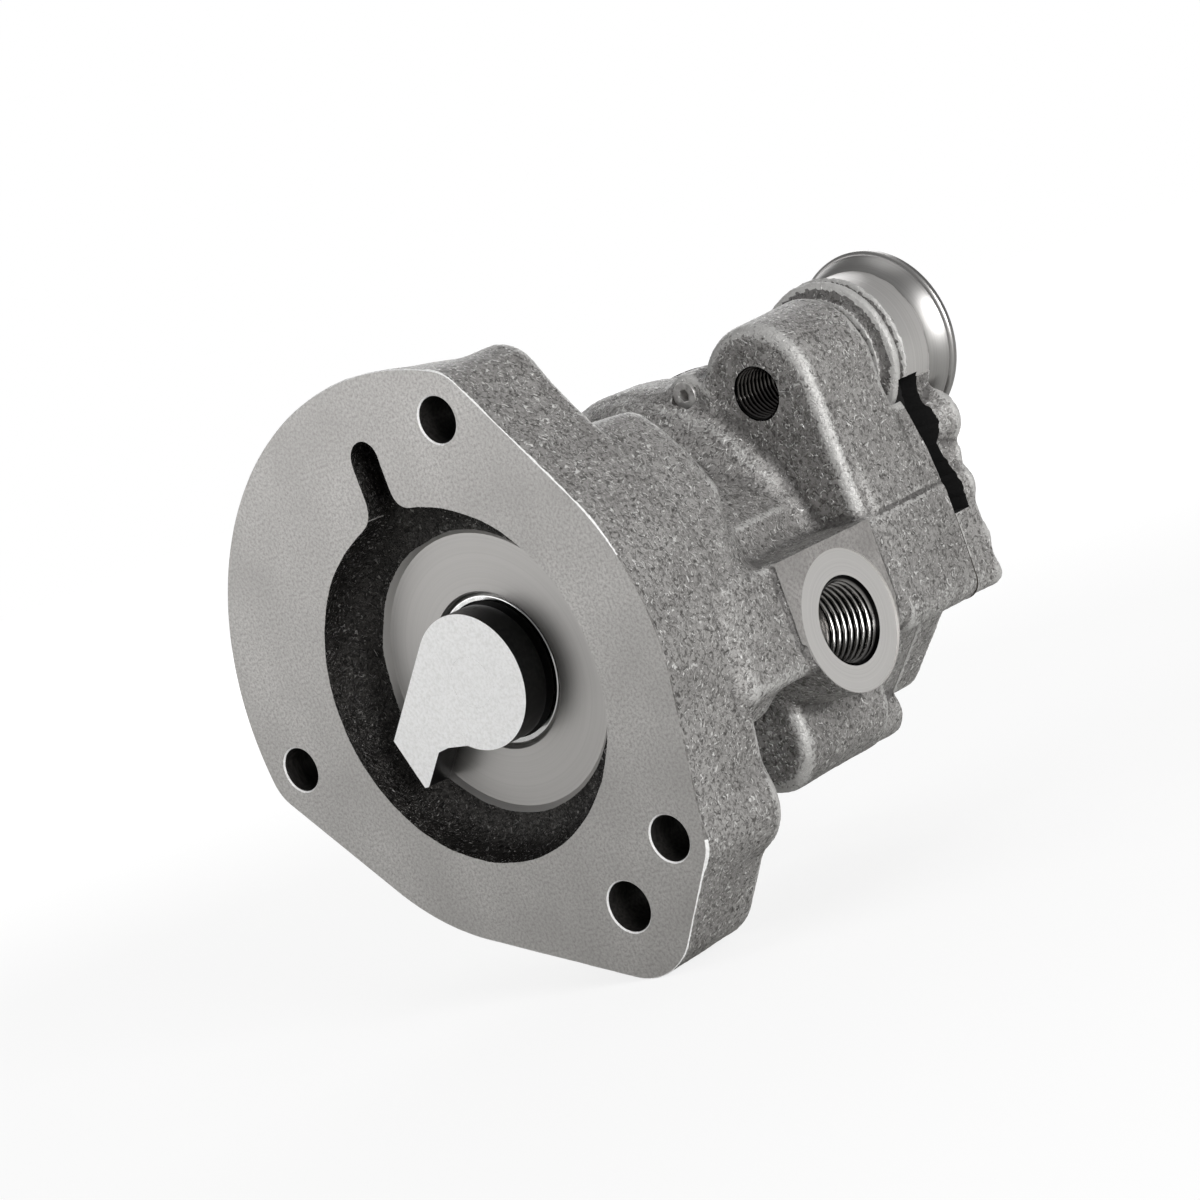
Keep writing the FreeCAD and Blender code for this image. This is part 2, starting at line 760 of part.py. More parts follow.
def cover():
    body = new_body("rear_cover")
    spin(body, "Revolution", add_corners, ([
        (0, cover_front), (s.rim_radius, cover_front), (s.rim_radius - s.cover_slope, s.cover_back),
        (0, s.cover_back)],))
    add_rear_block(body, cover_front, s.cover_back, s.block_side - s.cover_setback)
    for scallop in cover_scallops:
        pad(body, cover_front, s.cover_back, add_circle, scallop)
    pad(body, s.lug_back + s.cast_step, s.suction_land_front, add_circle, (*suction_axis, s.suction_boss_radius))
    pad(body, s.suction_land_front, s.cover_back, add_circle, (*suction_axis, s.suction_land_radius))
    pocket(body, s.lug_back, cover_front, add_circle, (*origin, s.drum_radius + s.cast_step))
    pad(body, s.cover_back, s.eye_dome_back, add_circle, (*origin, s.eye_radius + s.eye_dome_wall))
    pocket(body, s.cover_back, s.eye_dome_back, add_circle, (*suction_axis, s.suction_rim_radius + s.cast_step))
    cut_window(body)
    pocket(body, cover_front, channel_end, add_rounds, ([
        (*origin, s.eye_radius),
        (*suction_axis, s.suction_pipe_radius)],))
    pocket(body, channel_end, s.cover_back, add_circle, (*suction_axis, s.suction_pipe_radius))
    pocket(body, s.cover_back - s.suction_spigot_length, s.cover_back, add_circle,
           (*suction_axis, s.suction_bore_radius))
    pocket(body, cover_front, s.eye_dome_back, add_circle, *screw_places(s.screw_radius + s.screw_clearance))
    pocket(body, s.cover_back - s.screw_head_height, s.eye_dome_back, add_circle,
           *screw_places(s.screw_head_radius + s.screw_clearance))
    pocket(body, cover_front, s.drum_back + s.dowel_length / 2, add_circle, *dowel_places(s.dowel_radius))
    return body


def add_hexagon(sketch, u, v, radius):
    add_corners(sketch, [(plain(u) + plain(radius) * cosine(60 * i), plain(v) + plain(radius) * sine(60 * i))
                         for i in range(6)])


def screws():
    head_seat = s.cover_back - s.screw_head_height
    screw_tip = s.drum_back - s.screw_grip + s.screw_hole_spare
    items = []
    for number, angle in enumerate(screw_angles, start=1):
        body = new_body(f"cover_screw_{number}")
        spin(body, "Revolution", add_corners, ([
            (0, screw_tip), (s.screw_radius, screw_tip),
            (s.screw_radius, head_seat), (s.screw_head_radius, head_seat),
            (s.screw_head_radius, s.cover_back), (0, s.cover_back)],))
        pocket(body, s.cover_back - s.screw_head_height / 2, s.cover_back, add_hexagon,
               (*origin, s.screw_socket_radius))
        move_to(body, polar(s.screw_circle_radius, angle)[0], 0, polar(s.screw_circle_radius, angle)[1])
        items.append(body)
    return group("cover_screws", items)


def dowels():
    items = []
    for number, angle in enumerate(dowel_angles, start=1):
        body = new_body(f"cover_dowel_{number}")
        pad(body, s.drum_back - s.dowel_length / 2, s.drum_back + s.dowel_length / 2, add_circle,
            (*polar(s.screw_circle_radius, angle), s.dowel_radius))
        items.append(body)
    return group("cover_dowels", items)


def suction_flange():
    rim_front = s.cover_back + s.suction_cone_length
    rim_back = rim_front + s.suction_rim_width
    body = turned("suction_flange", [
        (s.suction_pipe_radius, s.cover_back - s.suction_spigot_length),
        (s.suction_bore_radius, s.cover_back - s.suction_spigot_length),
        (s.suction_bore_radius, s.cover_back), (s.suction_cone_radius, s.cover_back),
        (s.suction_rim_radius, rim_front), (s.suction_rim_radius, rim_back), (s.suction_pipe_radius, rim_back)])
    move_to(body, s.lug_across, 0, s.lug_height)
    return body


def passage_plug():
    body = new_body("passage_plug")
    front = s.lug_front - s.plug_proud
    pad(body, front, s.lug_front + s.plug_length, add_circle, (s.plug_across, s.plug_height, s.plug_radius))
    pocket(body, front, front + s.plug_socket_depth, add_hexagon,
           (s.plug_across, s.plug_height, s.plug_socket_radius))
    return body


# Pump chamber: suction plate and impeller

def suction_plate():
    return ring("suction_plate", s.eye_radius, s.plate_radius, plate_front, s.drum_back)


def impeller():
    disc_back = s.impeller_front + s.impeller_disc
    body = turned("impeller", [
        (s.impeller_seat_radius, s.impeller_front), (s.impeller_radius, s.impeller_front),
        (s.impeller_radius, disc_back),
        (s.impeller_hub_radius + s.impeller_hub_flare, disc_back + s.impeller_disc_slope),
        (s.impeller_hub_radius, disc_back + s.impeller_hub_flare),
        (s.impeller_hub_radius, vane_end), (s.impeller_seat_radius, vane_end)])
    vane = new_sketch(body, "XZ_Plane", -(disc_back - s.vane_root_sink))
    add_vane(vane)
    blade = body.newObject("PartDesign::Pad", "Vane")
    blade.Profile = vane
    blade.Reversed = True
    blade.setExpression("Length", (vane_end - disc_back + s.vane_root_sink).text)
    doc.recompute()
    pattern = body.newObject("PartDesign::PolarPattern", "Vanes")
    pattern.Originals = [blade]
    pattern.Axis = (origin_part(body, "Y_Axis"), [""])
    pattern.Angle = 360
    pattern.Occurrences = vane_count
    body.Tip = pattern
    keyway = s.impeller_seat_radius + s.key_width - s.key_depth
    pocket(body, s.impeller_front, vane_end, add_corners, ([
        (-s.key_width / 2, 0), (s.key_width / 2, 0),
        (s.key_width / 2, keyway), (-s.key_width / 2, keyway)],))
    return body


def add_vane(sketch):
    """A backward-curved vane: a strip of even thickness along an arc about a point below the shaft axis."""
    curve, offset = s.vane_curve_radius, s.vane_curve_offset
    tip_radius = s.impeller_radius - s.vane_tip_setback

    def turn_at(radius):
        return arcsine((curve * curve + offset * offset - radius * radius) / (2 * curve * offset))

    ends = (turn_at(tip_radius), turn_at(s.vane_inner_radius))
    centre = FreeCAD.Vector(0, -offset.number, 0)
    arcs = []
    for radius in (curve - s.vane_thickness / 2, curve + s.vane_thickness / 2):
        circle = Part.Circle(centre, FreeCAD.Vector(0, 0, 1), radius.number)
        turns = [math.radians(end.number) for end in ends]
        arc = sketch.addGeometry(Part.ArcOfCircle(circle, *turns), False)
        pin_point(sketch, arc, 3, 0, -offset)
        bind(sketch, radius, "Radius", arc)
        for point, end in zip((1, 2), ends):
            bind(sketch, radius * sine(end) - offset, "DistanceY", -1, 1, arc, point)
        arcs.append(arc)
    inner, outer = (sketch.Geometry[arc] for arc in arcs)
    for point, start, end in ((1, inner.StartPoint, outer.StartPoint), (2, inner.EndPoint, outer.EndPoint)):
        line = sketch.addGeometry(Part.LineSegment(start, end), False)
        sketch.addConstraint(Sketcher.Constraint("Coincident", arcs[0], point, line, 1))
        sketch.addConstraint(Sketcher.Constraint("Coincident", line, 2, arcs[1], point))


def impeller_washer():
    return ring("impeller_washer", s.nut_thread_radius + s.running_clearance, s.impeller_hub_radius,
                vane_end, nut_start)


def impeller_nut():
    body = new_body("impeller_nut")
    pad(body, nut_start, shaft_end - s.nut_thread_proud, add_hexagon, (*origin, s.impeller_hub_radius))
    pocket(body, nut_start, shaft_end, add_circle, (*origin, s.nut_thread_radius))
    return body


def shaft_key(label, radius, start, end):
    body = new_body(label)
    low = radius - s.key_depth
    pad(body, start, end, add_corners, ([
        (-s.key_width / 2, low), (s.key_width / 2, low),
        (s.key_width / 2, low + s.key_width), (-s.key_width / 2, low + s.key_width)],))
    return body


# Shaft and drive dog

dog_key_span = (s.dog_front + s.dog_key_start, dog_back - s.dog_key_end_gap)
impeller_key_start = s.impeller_front + s.impeller_key_start
impeller_key_span = (impeller_key_start, impeller_key_start + s.impeller_key_length)


def drive_shaft():
    seat_shoulder = s.front_bearing_start - s.seat_shoulder_setback
    body = turned("drive_shaft", [
        (0, s.dog_front), (s.shaft_end_radius, s.dog_front), (s.shaft_end_radius, dog_back),
        (s.seal_seat_radius, dog_back), (s.seal_seat_radius, seat_shoulder),
        (s.bearing_seat_radius, seat_shoulder), (s.bearing_seat_radius, rear_bearing_end),
        (s.collar_radius, rear_bearing_end), (s.collar_radius, collar_end),
        (s.seal_seat_radius, collar_end), (s.seal_seat_radius, s.impeller_front),
        (s.impeller_seat_radius, s.impeller_front), (s.impeller_seat_radius, vane_end),
        (s.nut_thread_radius, vane_end), (s.nut_thread_radius, shaft_end), (0, shaft_end)])
    half = s.key_width / 2
    keyways = ((s.shaft_end_radius, dog_key_span), (s.impeller_seat_radius, impeller_key_span))
    for radius, (start, end) in keyways:
        low, high = radius - s.key_depth, radius + s.keyway_overrun
        pocket(body, start, end, add_corners, ([(-half, low), (half, low), (half, high), (-half, high)],))
    return body


def drive_dog():
    """The hub with its one driving tooth. The tooth's upper side touches the hub circle."""
    body = new_body("drive_dog")
    pad(body, s.dog_front, dog_back, add_circle, (*origin, s.dog_hub_radius))
    upper = s.dog_hub_radius
    pad(body, s.dog_front, dog_back, add_dog_tooth, (upper, upper - s.dog_tooth_width))
    pocket(body, s.dog_front, dog_back, add_circle, (*origin, s.shaft_end_radius))
    half, keyway = s.key_width / 2, s.shaft_end_radius + s.key_width - s.key_depth
    pocket(body, s.dog_front + s.dog_key_start, dog_back, add_corners, ([
        (-half, 0), (half, 0), (half, keyway), (-half, keyway)],))
    return body


def add_dog_tooth(sketch, upper, lower):
    """The tooth points along the dog angle. Its corners are given along and across that direction."""
    def place(along, across):
        u = along * cosine(s.dog_angle) + across * sine(s.dog_angle)
        v = along * sine(s.dog_angle) - across * cosine(s.dog_angle)
        return u, v

    add_corners(sketch, [place(*corner_place) for corner_place in (
        (plain(0), upper), (s.dog_reach - s.dog_tip_bevel, upper),
        (s.dog_reach, lower + s.dog_tip_corner), (s.dog_reach - s.dog_tip_corner, lower),
        (s.dog_hub_radius + s.dog_heel_reach, lower),
        (s.dog_hub_radius + s.dog_heel_reach - s.dog_heel_width, lower - s.dog_heel_depth),
        (s.dog_root_along, s.dog_root_inset - s.dog_hub_radius))])


# Bearings, made once and placed twice

def bearing(name, start):
    half = s.bearing_width / 2
    land = bearing_section * s.race_gap_share

    def race(label, inner, outer):
        body = turned(label, [(inner, -half), (outer, -half), (outer, half), (inner, half)])
        spin(body, "Groove", add_circle, (bearing_pitch, 0, ball_radius + s.ball_clearance))
        return body

    outer = race(f"{name}_bearing_outer_race", bearing_pitch + land, s.bearing_outer_radius)
    inner = race(f"{name}_bearing_inner_race", s.bearing_seat_radius, bearing_pitch - land)
    cage = turned(f"{name}_bearing_cage", [
        (bearing_pitch - cage_half_thickness, -s.cage_half_width),
        (bearing_pitch + cage_half_thickness, -s.cage_half_width),
        (bearing_pitch + cage_half_thickness, s.cage_half_width),
        (bearing_pitch - cage_half_thickness, s.cage_half_width)])
    sketch = new_sketch(cage, "XY_Plane")
    add_circle(sketch, 0, 0, ball_radius + s.ball_clearance)
    hole = cage.newObject("PartDesign::Pocket", "BallHole")
    hole.Profile = sketch
    hole.Reversed = True
    hole.setExpression("Length", s.bearing_outer_radius.text)
    doc.recompute()
    pattern = cage.newObject("PartDesign::PolarPattern", "BallHoles")
    pattern.Originals = [hole]
    pattern.Axis = (origin_part(cage, "Y_Axis"), [""])
    pattern.Angle = 360
    pattern.Occurrences = ball_count
    cage.Tip = pattern
    middle = start + half
    balls = []
    for i in range(ball_count):
        ball = doc.addObject("Part::Sphere", f"{name}_ball")
        ball.setExpression("Radius", ball_radius.text)
        across, height = polar(bearing_pitch, 90 + 360 / ball_count * i)
        move_to(ball, across, middle, height)
        balls.append(ball)
    for piece in (outer, inner, cage):
        move_to(piece, 0, middle, 0)
    return [outer, inner, cage, group(f"{name}_bearing_balls", balls)]


def bearing_spacers():
    return [
        ring("outer_spacer", s.bearing_outer_radius - s.spacer_wall, s.bearing_outer_radius,
             front_bearing_end, rear_bearing_start),
        ring("inner_spacer", s.bearing_seat_radius, s.bearing_seat_radius + s.spacer_wall,
             front_bearing_end, rear_bearing_start),
    ]


def bearing_circlip():
    """A plain internal ring, open at the bottom."""
    front = s.front_bearing_start - s.circlip_thickness
    inner = s.bearing_outer_radius - s.circlip_width
    outer = s.bearing_outer_radius + s.circlip_depth - s.circlip_play
    body = ring("bearing_circlip", inner, outer, front, s.front_bearing_start)
    half, reach = s.circlip_opening / 2, s.bearing_outer_radius + s.circlip_width
    pocket(body, front, s.front_bearing_start, add_corners, ([
        (-half, -reach), (half, -reach), (half, -s.bearing_seat_radius), (-half, -s.bearing_seat_radius)],))
    return body


# Shaft seals

def lip_seal():
    inner = s.seal_bore_radius - s.seal_case_flange
    back = s.seal_case_back
    wall = s.seal_case_wall
    lip = s.seal_seat_radius + s.running_clearance
    case = turned("shaft_seal_case", [
        (inner, s.seal_case_front), (s.seal_bore_radius - s.seal_case_rounding, s.seal_case_front),
        (s.seal_bore_radius, s.seal_case_front + s.seal_case_rounding * 1.6), (s.seal_bore_radius, back),
        (s.seal_bore_radius - wall, back), (s.seal_bore_radius - wall, s.seal_case_front + wall),
        (inner, s.seal_case_front + wall)])
    shell = s.seal_bore_radius - wall
    web = s.seal_case_front + wall
    rubber_back = back - s.lip_shell_setback
    spring_along = rubber_back - s.lip_spring_setback
    rubber = turned("shaft_seal_lip", [
        (shell, web), (shell, rubber_back),
        (shell - s.lip_shell_wall, rubber_back), (shell - s.lip_shell_wall, web + s.lip_web),
        (lip + s.lip_height, web + s.lip_web), (lip + s.lip_height * 0.75, spring_along),
        (lip + s.lip_slope, spring_along + s.lip_slope),
        (lip, spring_along + s.lip_edge_setback), (lip + s.lip_slope, web)])
    spring = cord_ring("seal_garter_spring", lip + s.lip_height + s.garter_radius, s.garter_radius, spring_along)
    return [case, rubber, spring]


def face_seal():
    bore = s.seal_seat_radius + s.running_clearance
    pocket_front = s.seal_pocket_front
    cord = s.seat_cord_radius
    seat_bore = s.seal_seat_radius + s.seat_bore_gap
    chamfer = s.seal_ring_chamfer
    seat = turned("face_seal_seat", [
        (seat_bore, pocket_front), (s.seal_pocket_radius - 2 * cord, pocket_front),
        (s.seal_pocket_radius - 2 * cord, pocket_front + 2 * cord), (s.seal_pocket_radius, pocket_front + 2 * cord),
        (s.seal_pocket_radius, seat_end), (seat_bore, seat_end)])
    seat_cord = cord_ring("face_seal_seat_cord", s.seal_pocket_radius - cord, cord, pocket_front + cord)
    face_ring = turned("face_seal_ring", [
        (bore, seat_end + chamfer), (bore + chamfer, seat_end), (s.seal_ring_radius - chamfer, seat_end),
        (s.seal_ring_radius, seat_end + chamfer), (s.seal_ring_radius, ring_end), (bore, ring_end)])
    brim = s.spring_radius - s.bellows_wall
    tube = s.seal_seat_radius + s.bellows_wall
    bellows_back = s.impeller_front - s.bellows_end_gap
    bellows = turned("face_seal_bellows", [
        (s.seal_seat_radius, ring_end), (brim, ring_end), (brim, ring_end + s.bellows_brim),
        (tube, ring_end + s.bellows_brim), (tube, bellows_back), (s.seal_seat_radius, bellows_back)])
    return [seat, seat_cord, face_ring, bellows, seal_spring()]


def seal_spring():
    """A closed helix from the carbon ring to the back of the impeller."""
    wire = s.spring_wire_radius
    height = s.impeller_front - ring_end - 2 * wire
    helix = doc.addObject("Part::Helix", "SpringLine")
    helix.setExpression("Radius", s.spring_radius.text)
    helix.setExpression("Height", height.text)
    helix.setExpression("Pitch", (height / s.spring_turns).text)
    section = doc.addObject("Part::Circle", "SpringWire")
    section.setExpression("Radius", wire.text)
    section.setExpression("Placement.Base.x", s.spring_radius.text)
    section.Placement.Rotation = FreeCAD.Rotation(FreeCAD.Vector(1, 0, 0), 90)
    sweep = doc.addObject("Part::Sweep", "face_seal_spring")
    sweep.Label = "face_seal_spring"
    sweep.Sections = [section]
    sweep.Spine = (helix, ["Edge1"])
    sweep.Solid = True
    sweep.Frenet = True
    sweep.Placement.Rotation = FreeCAD.Rotation(FreeCAD.Vector(1, 0, 0), -90)
    sweep.setExpression("Placement.Base.y", (ring_end + wire).text)
    return sweep


nodes = [
    housing(), gasket(), cover(), screws(), dowels(), suction_flange(), passage_plug(),
    suction_plate(), impeller(), impeller_washer(), impeller_nut(), drive_shaft(), drive_dog(),
    shaft_key("impeller_key", s.impeller_seat_radius, *impeller_key_span),
    shaft_key("dog_key", s.shaft_end_radius, *dog_key_span),
    *bearing("front", s.front_bearing_start), *bearing("rear", rear_bearing_start),
    *bearing_spacers(), bearing_circlip(), *lip_seal(), *face_seal(),
]
doc.recompute()

for item in doc.Objects:
    if "Invalid" in item.State or "Error" in item.State:
        raise RuntimeError(f"{item.Label} failed: {item.State}")
for node in nodes:
    if node.Shape.isNull() or not node.Shape.isValid() or not node.Shape.Solids:
        raise RuntimeError(f"{node.Label} has no valid solid")
for node in nodes:
    node.Shape.exportStep(f"parts/{node.Label}.step")
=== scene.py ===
import math

import bmesh
import bpy
import numpy as np
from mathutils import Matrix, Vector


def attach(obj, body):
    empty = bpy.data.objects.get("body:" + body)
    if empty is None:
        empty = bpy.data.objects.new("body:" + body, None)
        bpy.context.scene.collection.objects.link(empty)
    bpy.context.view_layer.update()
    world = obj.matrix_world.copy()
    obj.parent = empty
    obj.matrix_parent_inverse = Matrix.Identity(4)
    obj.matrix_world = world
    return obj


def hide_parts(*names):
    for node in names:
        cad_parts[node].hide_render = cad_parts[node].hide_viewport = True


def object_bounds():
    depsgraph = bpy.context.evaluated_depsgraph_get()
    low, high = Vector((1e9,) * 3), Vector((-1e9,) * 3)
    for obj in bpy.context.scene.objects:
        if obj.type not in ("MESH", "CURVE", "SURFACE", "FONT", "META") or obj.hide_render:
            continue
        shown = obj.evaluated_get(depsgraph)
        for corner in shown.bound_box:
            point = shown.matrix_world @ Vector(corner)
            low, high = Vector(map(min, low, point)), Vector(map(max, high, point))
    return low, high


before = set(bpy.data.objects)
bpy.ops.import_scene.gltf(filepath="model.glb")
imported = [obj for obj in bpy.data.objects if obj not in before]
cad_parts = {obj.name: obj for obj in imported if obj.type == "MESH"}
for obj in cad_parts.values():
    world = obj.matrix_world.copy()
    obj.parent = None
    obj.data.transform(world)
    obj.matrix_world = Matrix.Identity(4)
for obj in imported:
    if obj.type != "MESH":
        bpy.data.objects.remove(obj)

import openvdb
from mathutils import Matrix, Vector

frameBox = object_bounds()
millimetre = 0.001
random = np.random.default_rng(7)


# Shape helpers. Sizes and places are in millimetres, in the frame's own axes.

def polar(radius, angle):
    return radius * math.cos(math.radians(angle)), radius * math.sin(math.radians(angle))


def smoothUnion(a, b, fillet):
    # two distance fields as one body, with a fillet where they meet
    mix = np.clip(0.5 + 0.5 * (b - a) / fillet, 0, 1)
    return b + (a - b) * mix - fillet * mix * (1 - mix)


def smoothCut(a, b, fillet):
    return -smoothUnion(-a, b, fillet)


def between(position, low, high):
    return np.maximum(low - position, position - high)


def waves(places, terms):
    # unevenness as a sum of waves, each with its depth, rate and shift
    return sum(depth * np.sin(places * rate + shift) for depth, rate, shift in terms)


def roundedJoin(a, b, rounding):
    # the part inside both, with its edge rounded
    a, b = a + rounding, b + rounding
    outside = np.sqrt(np.maximum(a, 0) ** 2 + np.maximum(b, 0) ** 2)
    return np.minimum(np.maximum(a, b), 0) + outside - rounding


def roundsOutline(rounds, step=0.9):
    # points and outward normals of an outline round circles (x, z, radius), counter-clockwise,
    # joined by outer tangents; radius None touches its larger neighbour from inside
    count = len(rounds)
    centres = [Vector(item[:2]) for item in rounds]
    radii = []
    for i, (_, _, radius) in enumerate(rounds):
        if radius is None:
            host = max((i - 1, (i + 1) % count), key=lambda k: rounds[k][2] or 0)
            radius = rounds[host][2] - (centres[i] - centres[host]).length
        radii.append(radius)
    normals = []
    for i in range(count):
        along = centres[(i + 1) % count] - centres[i]
        lean = max(-1, min(1, (radii[i] - radii[(i + 1) % count]) / along.length))
        along.normalize()
        normals.append(along * lean + Vector((along.y, -along.x)) * math.sqrt(1 - lean * lean))
    points, facing = [], []
    for i in range(count):
        start = math.atan2(normals[i - 1].y, normals[i - 1].x)
        sweep = (math.atan2(normals[i].y, normals[i].x) - start) % math.tau
        pieces = max(1, math.ceil(radii[i] * sweep / step))
        for k in range(pieces + 1):
            way = Vector((math.cos(start + sweep * k / pieces), math.sin(start + sweep * k / pieces)))
            points.append(centres[i] + way * radii[i])
            facing.append(way)
    return np.array(points), np.array(facing)


class Block:
    # a block of space sampled on a regular grid, in which castings are shaped as distance fields

    def __init__(self, low, high, step):
        self.low, self.step = np.array(low, float), step
        counts = [int((b - a) / step) + 1 for a, b in zip(low, high)]
        axes = [low[i] + step * np.arange(counts[i], dtype=np.float32) for i in range(3)]
        self.flatX, self.flatZ = axes[0][:, None], axes[2][None, :]
        self.x = axes[0][:, None, None]
        self.y = axes[1][None, :, None]
        self.z = axes[2][None, None, :]
        self.counts = counts

    def outline(self, points):
        # signed distance to a closed outline in X and Z
        nearest = np.full((len(self.flatX), self.flatZ.shape[1]), 1e9)
        inside = np.zeros(nearest.shape, bool)
        for a, b in zip(points, np.roll(points, -1, axis=0)):
            edge = b - a
            size = edge @ edge
            if size < 1e-8:
                continue
            share = np.clip(((self.flatX - a[0]) * edge[0] + (self.flatZ - a[1]) * edge[1]) / size, 0, 1)
            gap = (self.flatX - a[0] - edge[0] * share) ** 2 + (self.flatZ - a[1] - edge[1] * share) ** 2
            nearest = np.minimum(nearest, gap)
            if a[1] != b[1]:
                crossing = edge[0] * (self.flatZ - a[1]) / edge[1] + a[0]
                inside ^= ((a[1] > self.flatZ) != (b[1] > self.flatZ)) & (self.flatX < crossing)
        distance = np.sqrt(nearest)
        return np.where(inside, -distance, distance).astype(np.float32)[:, None, :]

    def rounds(self, rounds):
        return self.outline(roundsOutline(rounds)[0])

    def circle(self, across, height, radius):
        return np.sqrt((self.x - across) ** 2 + (self.z - height) ** 2) - radius

    def prism(self, flat, start, end, rounding):
        return roundedJoin(flat, between(self.y, start, end), rounding)

    def unevenness(self, wave, depth):
        # a smooth random field, as a sand mould leaves it
        field = random.standard_normal([int(count * self.step / wave) + 3 for count in self.counts])
        for axis, count in enumerate(self.counts):
            places = np.arange(count) * self.step / wave
            whole = places.astype(int)
            share = places - whole
            share = (share * share * (3 - 2 * share)).reshape([-1 if k == axis else 1 for k in range(3)])
            field = np.take(field, whole, axis) * (1 - share) + np.take(field, whole + 1, axis) * share
        return (field * depth).astype(np.float32)

    def cornered(self, field):
        # how sharply the surface bends, in 1/mm: above zero on outer edges, below zero in corners
        bend = -6 * field
        for axis in range(3):
            bend += np.roll(field, 2, axis) + np.roll(field, -2, axis)
        return bend / (2 * self.step) ** 2

    def sample(self, field, points):
        places = np.rint((points - self.low) / self.step).astype(int)
        places = np.clip(places, 0, np.array(self.counts) - 1)
        return field[places[:, 0], places[:, 1], places[:, 2]]

    def drawLine(self, field, points, radius, raised=True):
        # a fine ridge or groove along a line of points on the surface
        points = np.array(points, float)
        low = np.maximum(((points.min(0) - 3 * radius - self.low) / self.step).astype(int), 0)
        high = ((points.max(0) + 3 * radius - self.low) / self.step).astype(int) + 2
        part = tuple(slice(a, b) for a, b in zip(low, high))
        places = np.stack(np.broadcast_arrays(
            self.x[part[0]], self.y[:, part[1]], self.z[:, :, part[2]]), -1)
        nearest = np.full(places.shape[:3], 1e9)
        for a, b in zip(points, points[1:]):
            way = b - a
            share = np.clip((places - a) @ way / (way @ way), 0, 1)
            nearest = np.minimum(nearest, np.linalg.norm(places - a - share[..., None] * way, axis=-1))
        join = smoothUnion if raised else smoothCut
        field[part] = join(field[part], nearest - radius, radius)

    def cast(self, name, field, look):
        # gives the shape its uneven skin; also gives back how sharply it bent before that
        bend = self.cornered(field)
        field += self.unevenness(*look["broadSkin"]) + self.unevenness(*look["fineSkin"]) + look["skinInset"]
        return self.piece(name, field, look["grain"]), bend

    def piece(self, name, field, grain):
        reach = 3 * self.step
        grid = openvdb.FloatGrid(reach)
        grid.copyFromArray(np.clip(field, -reach, reach).astype(np.float32))
        points, quads = grid.convertToQuads(0.0)
        points = points * self.step + self.low
        piece = meshPiece(name, points, quads)
        facing = np.empty(len(points) * 3, np.float32)
        piece.data.vertex_normals.foreach_get("vector", facing)
        points = points + facing.reshape(-1, 3) * random.normal(0, grain, (len(points), 1))
        piece.data.vertices.foreach_set("co", (points * millimetre).ravel())
        piece.data.update()
        return piece


def placed(name, data):
    piece = bpy.data.objects.new(name, data)
    bpy.context.scene.collection.objects.link(piece)
    return piece


def meshPiece(name, points, faces, materials=(), places=None):
    mesh = bpy.data.meshes.new(name)
    mesh.from_pydata([tuple(p) for p in np.asarray(points) * millimetre], [], [tuple(f) for f in faces])
    for material in materials:
        mesh.materials.append(material)
    if places is not None:
        mesh.polygons.foreach_set("material_index", places)
    work = bmesh.new()
    work.from_mesh(mesh)
    bmesh.ops.recalc_face_normals(work, faces=work.faces)
    if work.calc_volume(signed=True) < 0:
        bmesh.ops.reverse_faces(work, faces=work.faces)
    work.to_mesh(mesh)
    work.free()
    return placed(name, mesh)


def aroundAxis(axis, centre, radius, along, turn):
    # a place on a circle round a Y or X axis through centre (x, y, z)
    u, v = radius * np.cos(turn), radius * np.sin(turn)
    if axis == "Y":
        return np.stack([centre[0] + u, centre[1] + along + 0 * u, centre[2] + v], -1)
    return np.stack([centre[0] + along + 0 * u, centre[1] + u, centre[2] + v], -1)


def turnedPiece(name, profile, centre=(0, 0, 0), axis="Y", steps=96, materials=(), finish=None, closed=False):
    # a solid of revolution; profile is (radius, along) pairs, from axis to axis unless it is closed
    turns = np.arange(steps) / steps * math.tau
    points, rings = [], []
    for radius, along in profile:
        rings.append((len(points), radius == 0))
        ring = aroundAxis(axis, centre, radius, along, turns if radius else turns[:1])
        points.extend(ring)
    faces, places = [], []
    pairs = list(zip(range(len(rings)), range(1, len(rings))))
    if closed:
        pairs.append((len(rings) - 1, 0))
    for number, (i, j) in enumerate(pairs):
        (a, aPoint), (b, bPoint) = rings[i], rings[j]
        for k in range(steps):
            m = (k + 1) % steps
            if aPoint:
                faces.append((a, b + k, b + m))
            elif bPoint:
                faces.append((a + k, b, a + m))
            else:
                faces.append((a + k, b + k, b + m, a + m))
            places.append(finish[number] if finish else 0)
    return meshPiece(name, points, faces, materials, places)


def drill(name, radius, start, end, *rest):
    return turnedPiece(name, [(0, start), (radius, start), (radius, end), (0, end)], *rest)


def prismPiece(name, outline, start, end, materials=(), axis="Y"):
    # an outline in X and Z, extended along Y, or one in Y and Z, extended along X
    count = len(outline)
    points = [(u, w, z) if axis == "Y" else (w, u, z) for w in (start, end) for u, z in outline]
    faces = [tuple(range(count)), tuple(range(2 * count - 1, count - 1, -1))]
    faces += [(i, (i + 1) % count, count + (i + 1) % count, count + i) for i in range(count)]
    return meshPiece(name, points, faces, materials, [0] * len(faces))


def boxPiece(name, low, high, materials=()):
    corners = [(low[0], low[2]), (high[0], low[2]), (high[0], high[2]), (low[0], high[2])]
    return prismPiece(name, corners, low[1], high[1], materials)


def barFaces(count, steps):
    # the long faces of a bar with four corners, each a row of this many points
    return [(a * count + i, a * count + (i + 1) % count, b * count + (i + 1) % count, b * count + i)
            for a, b in ((0, 1), (1, 2), (2, 3), (3, 0)) for i in range(steps)]


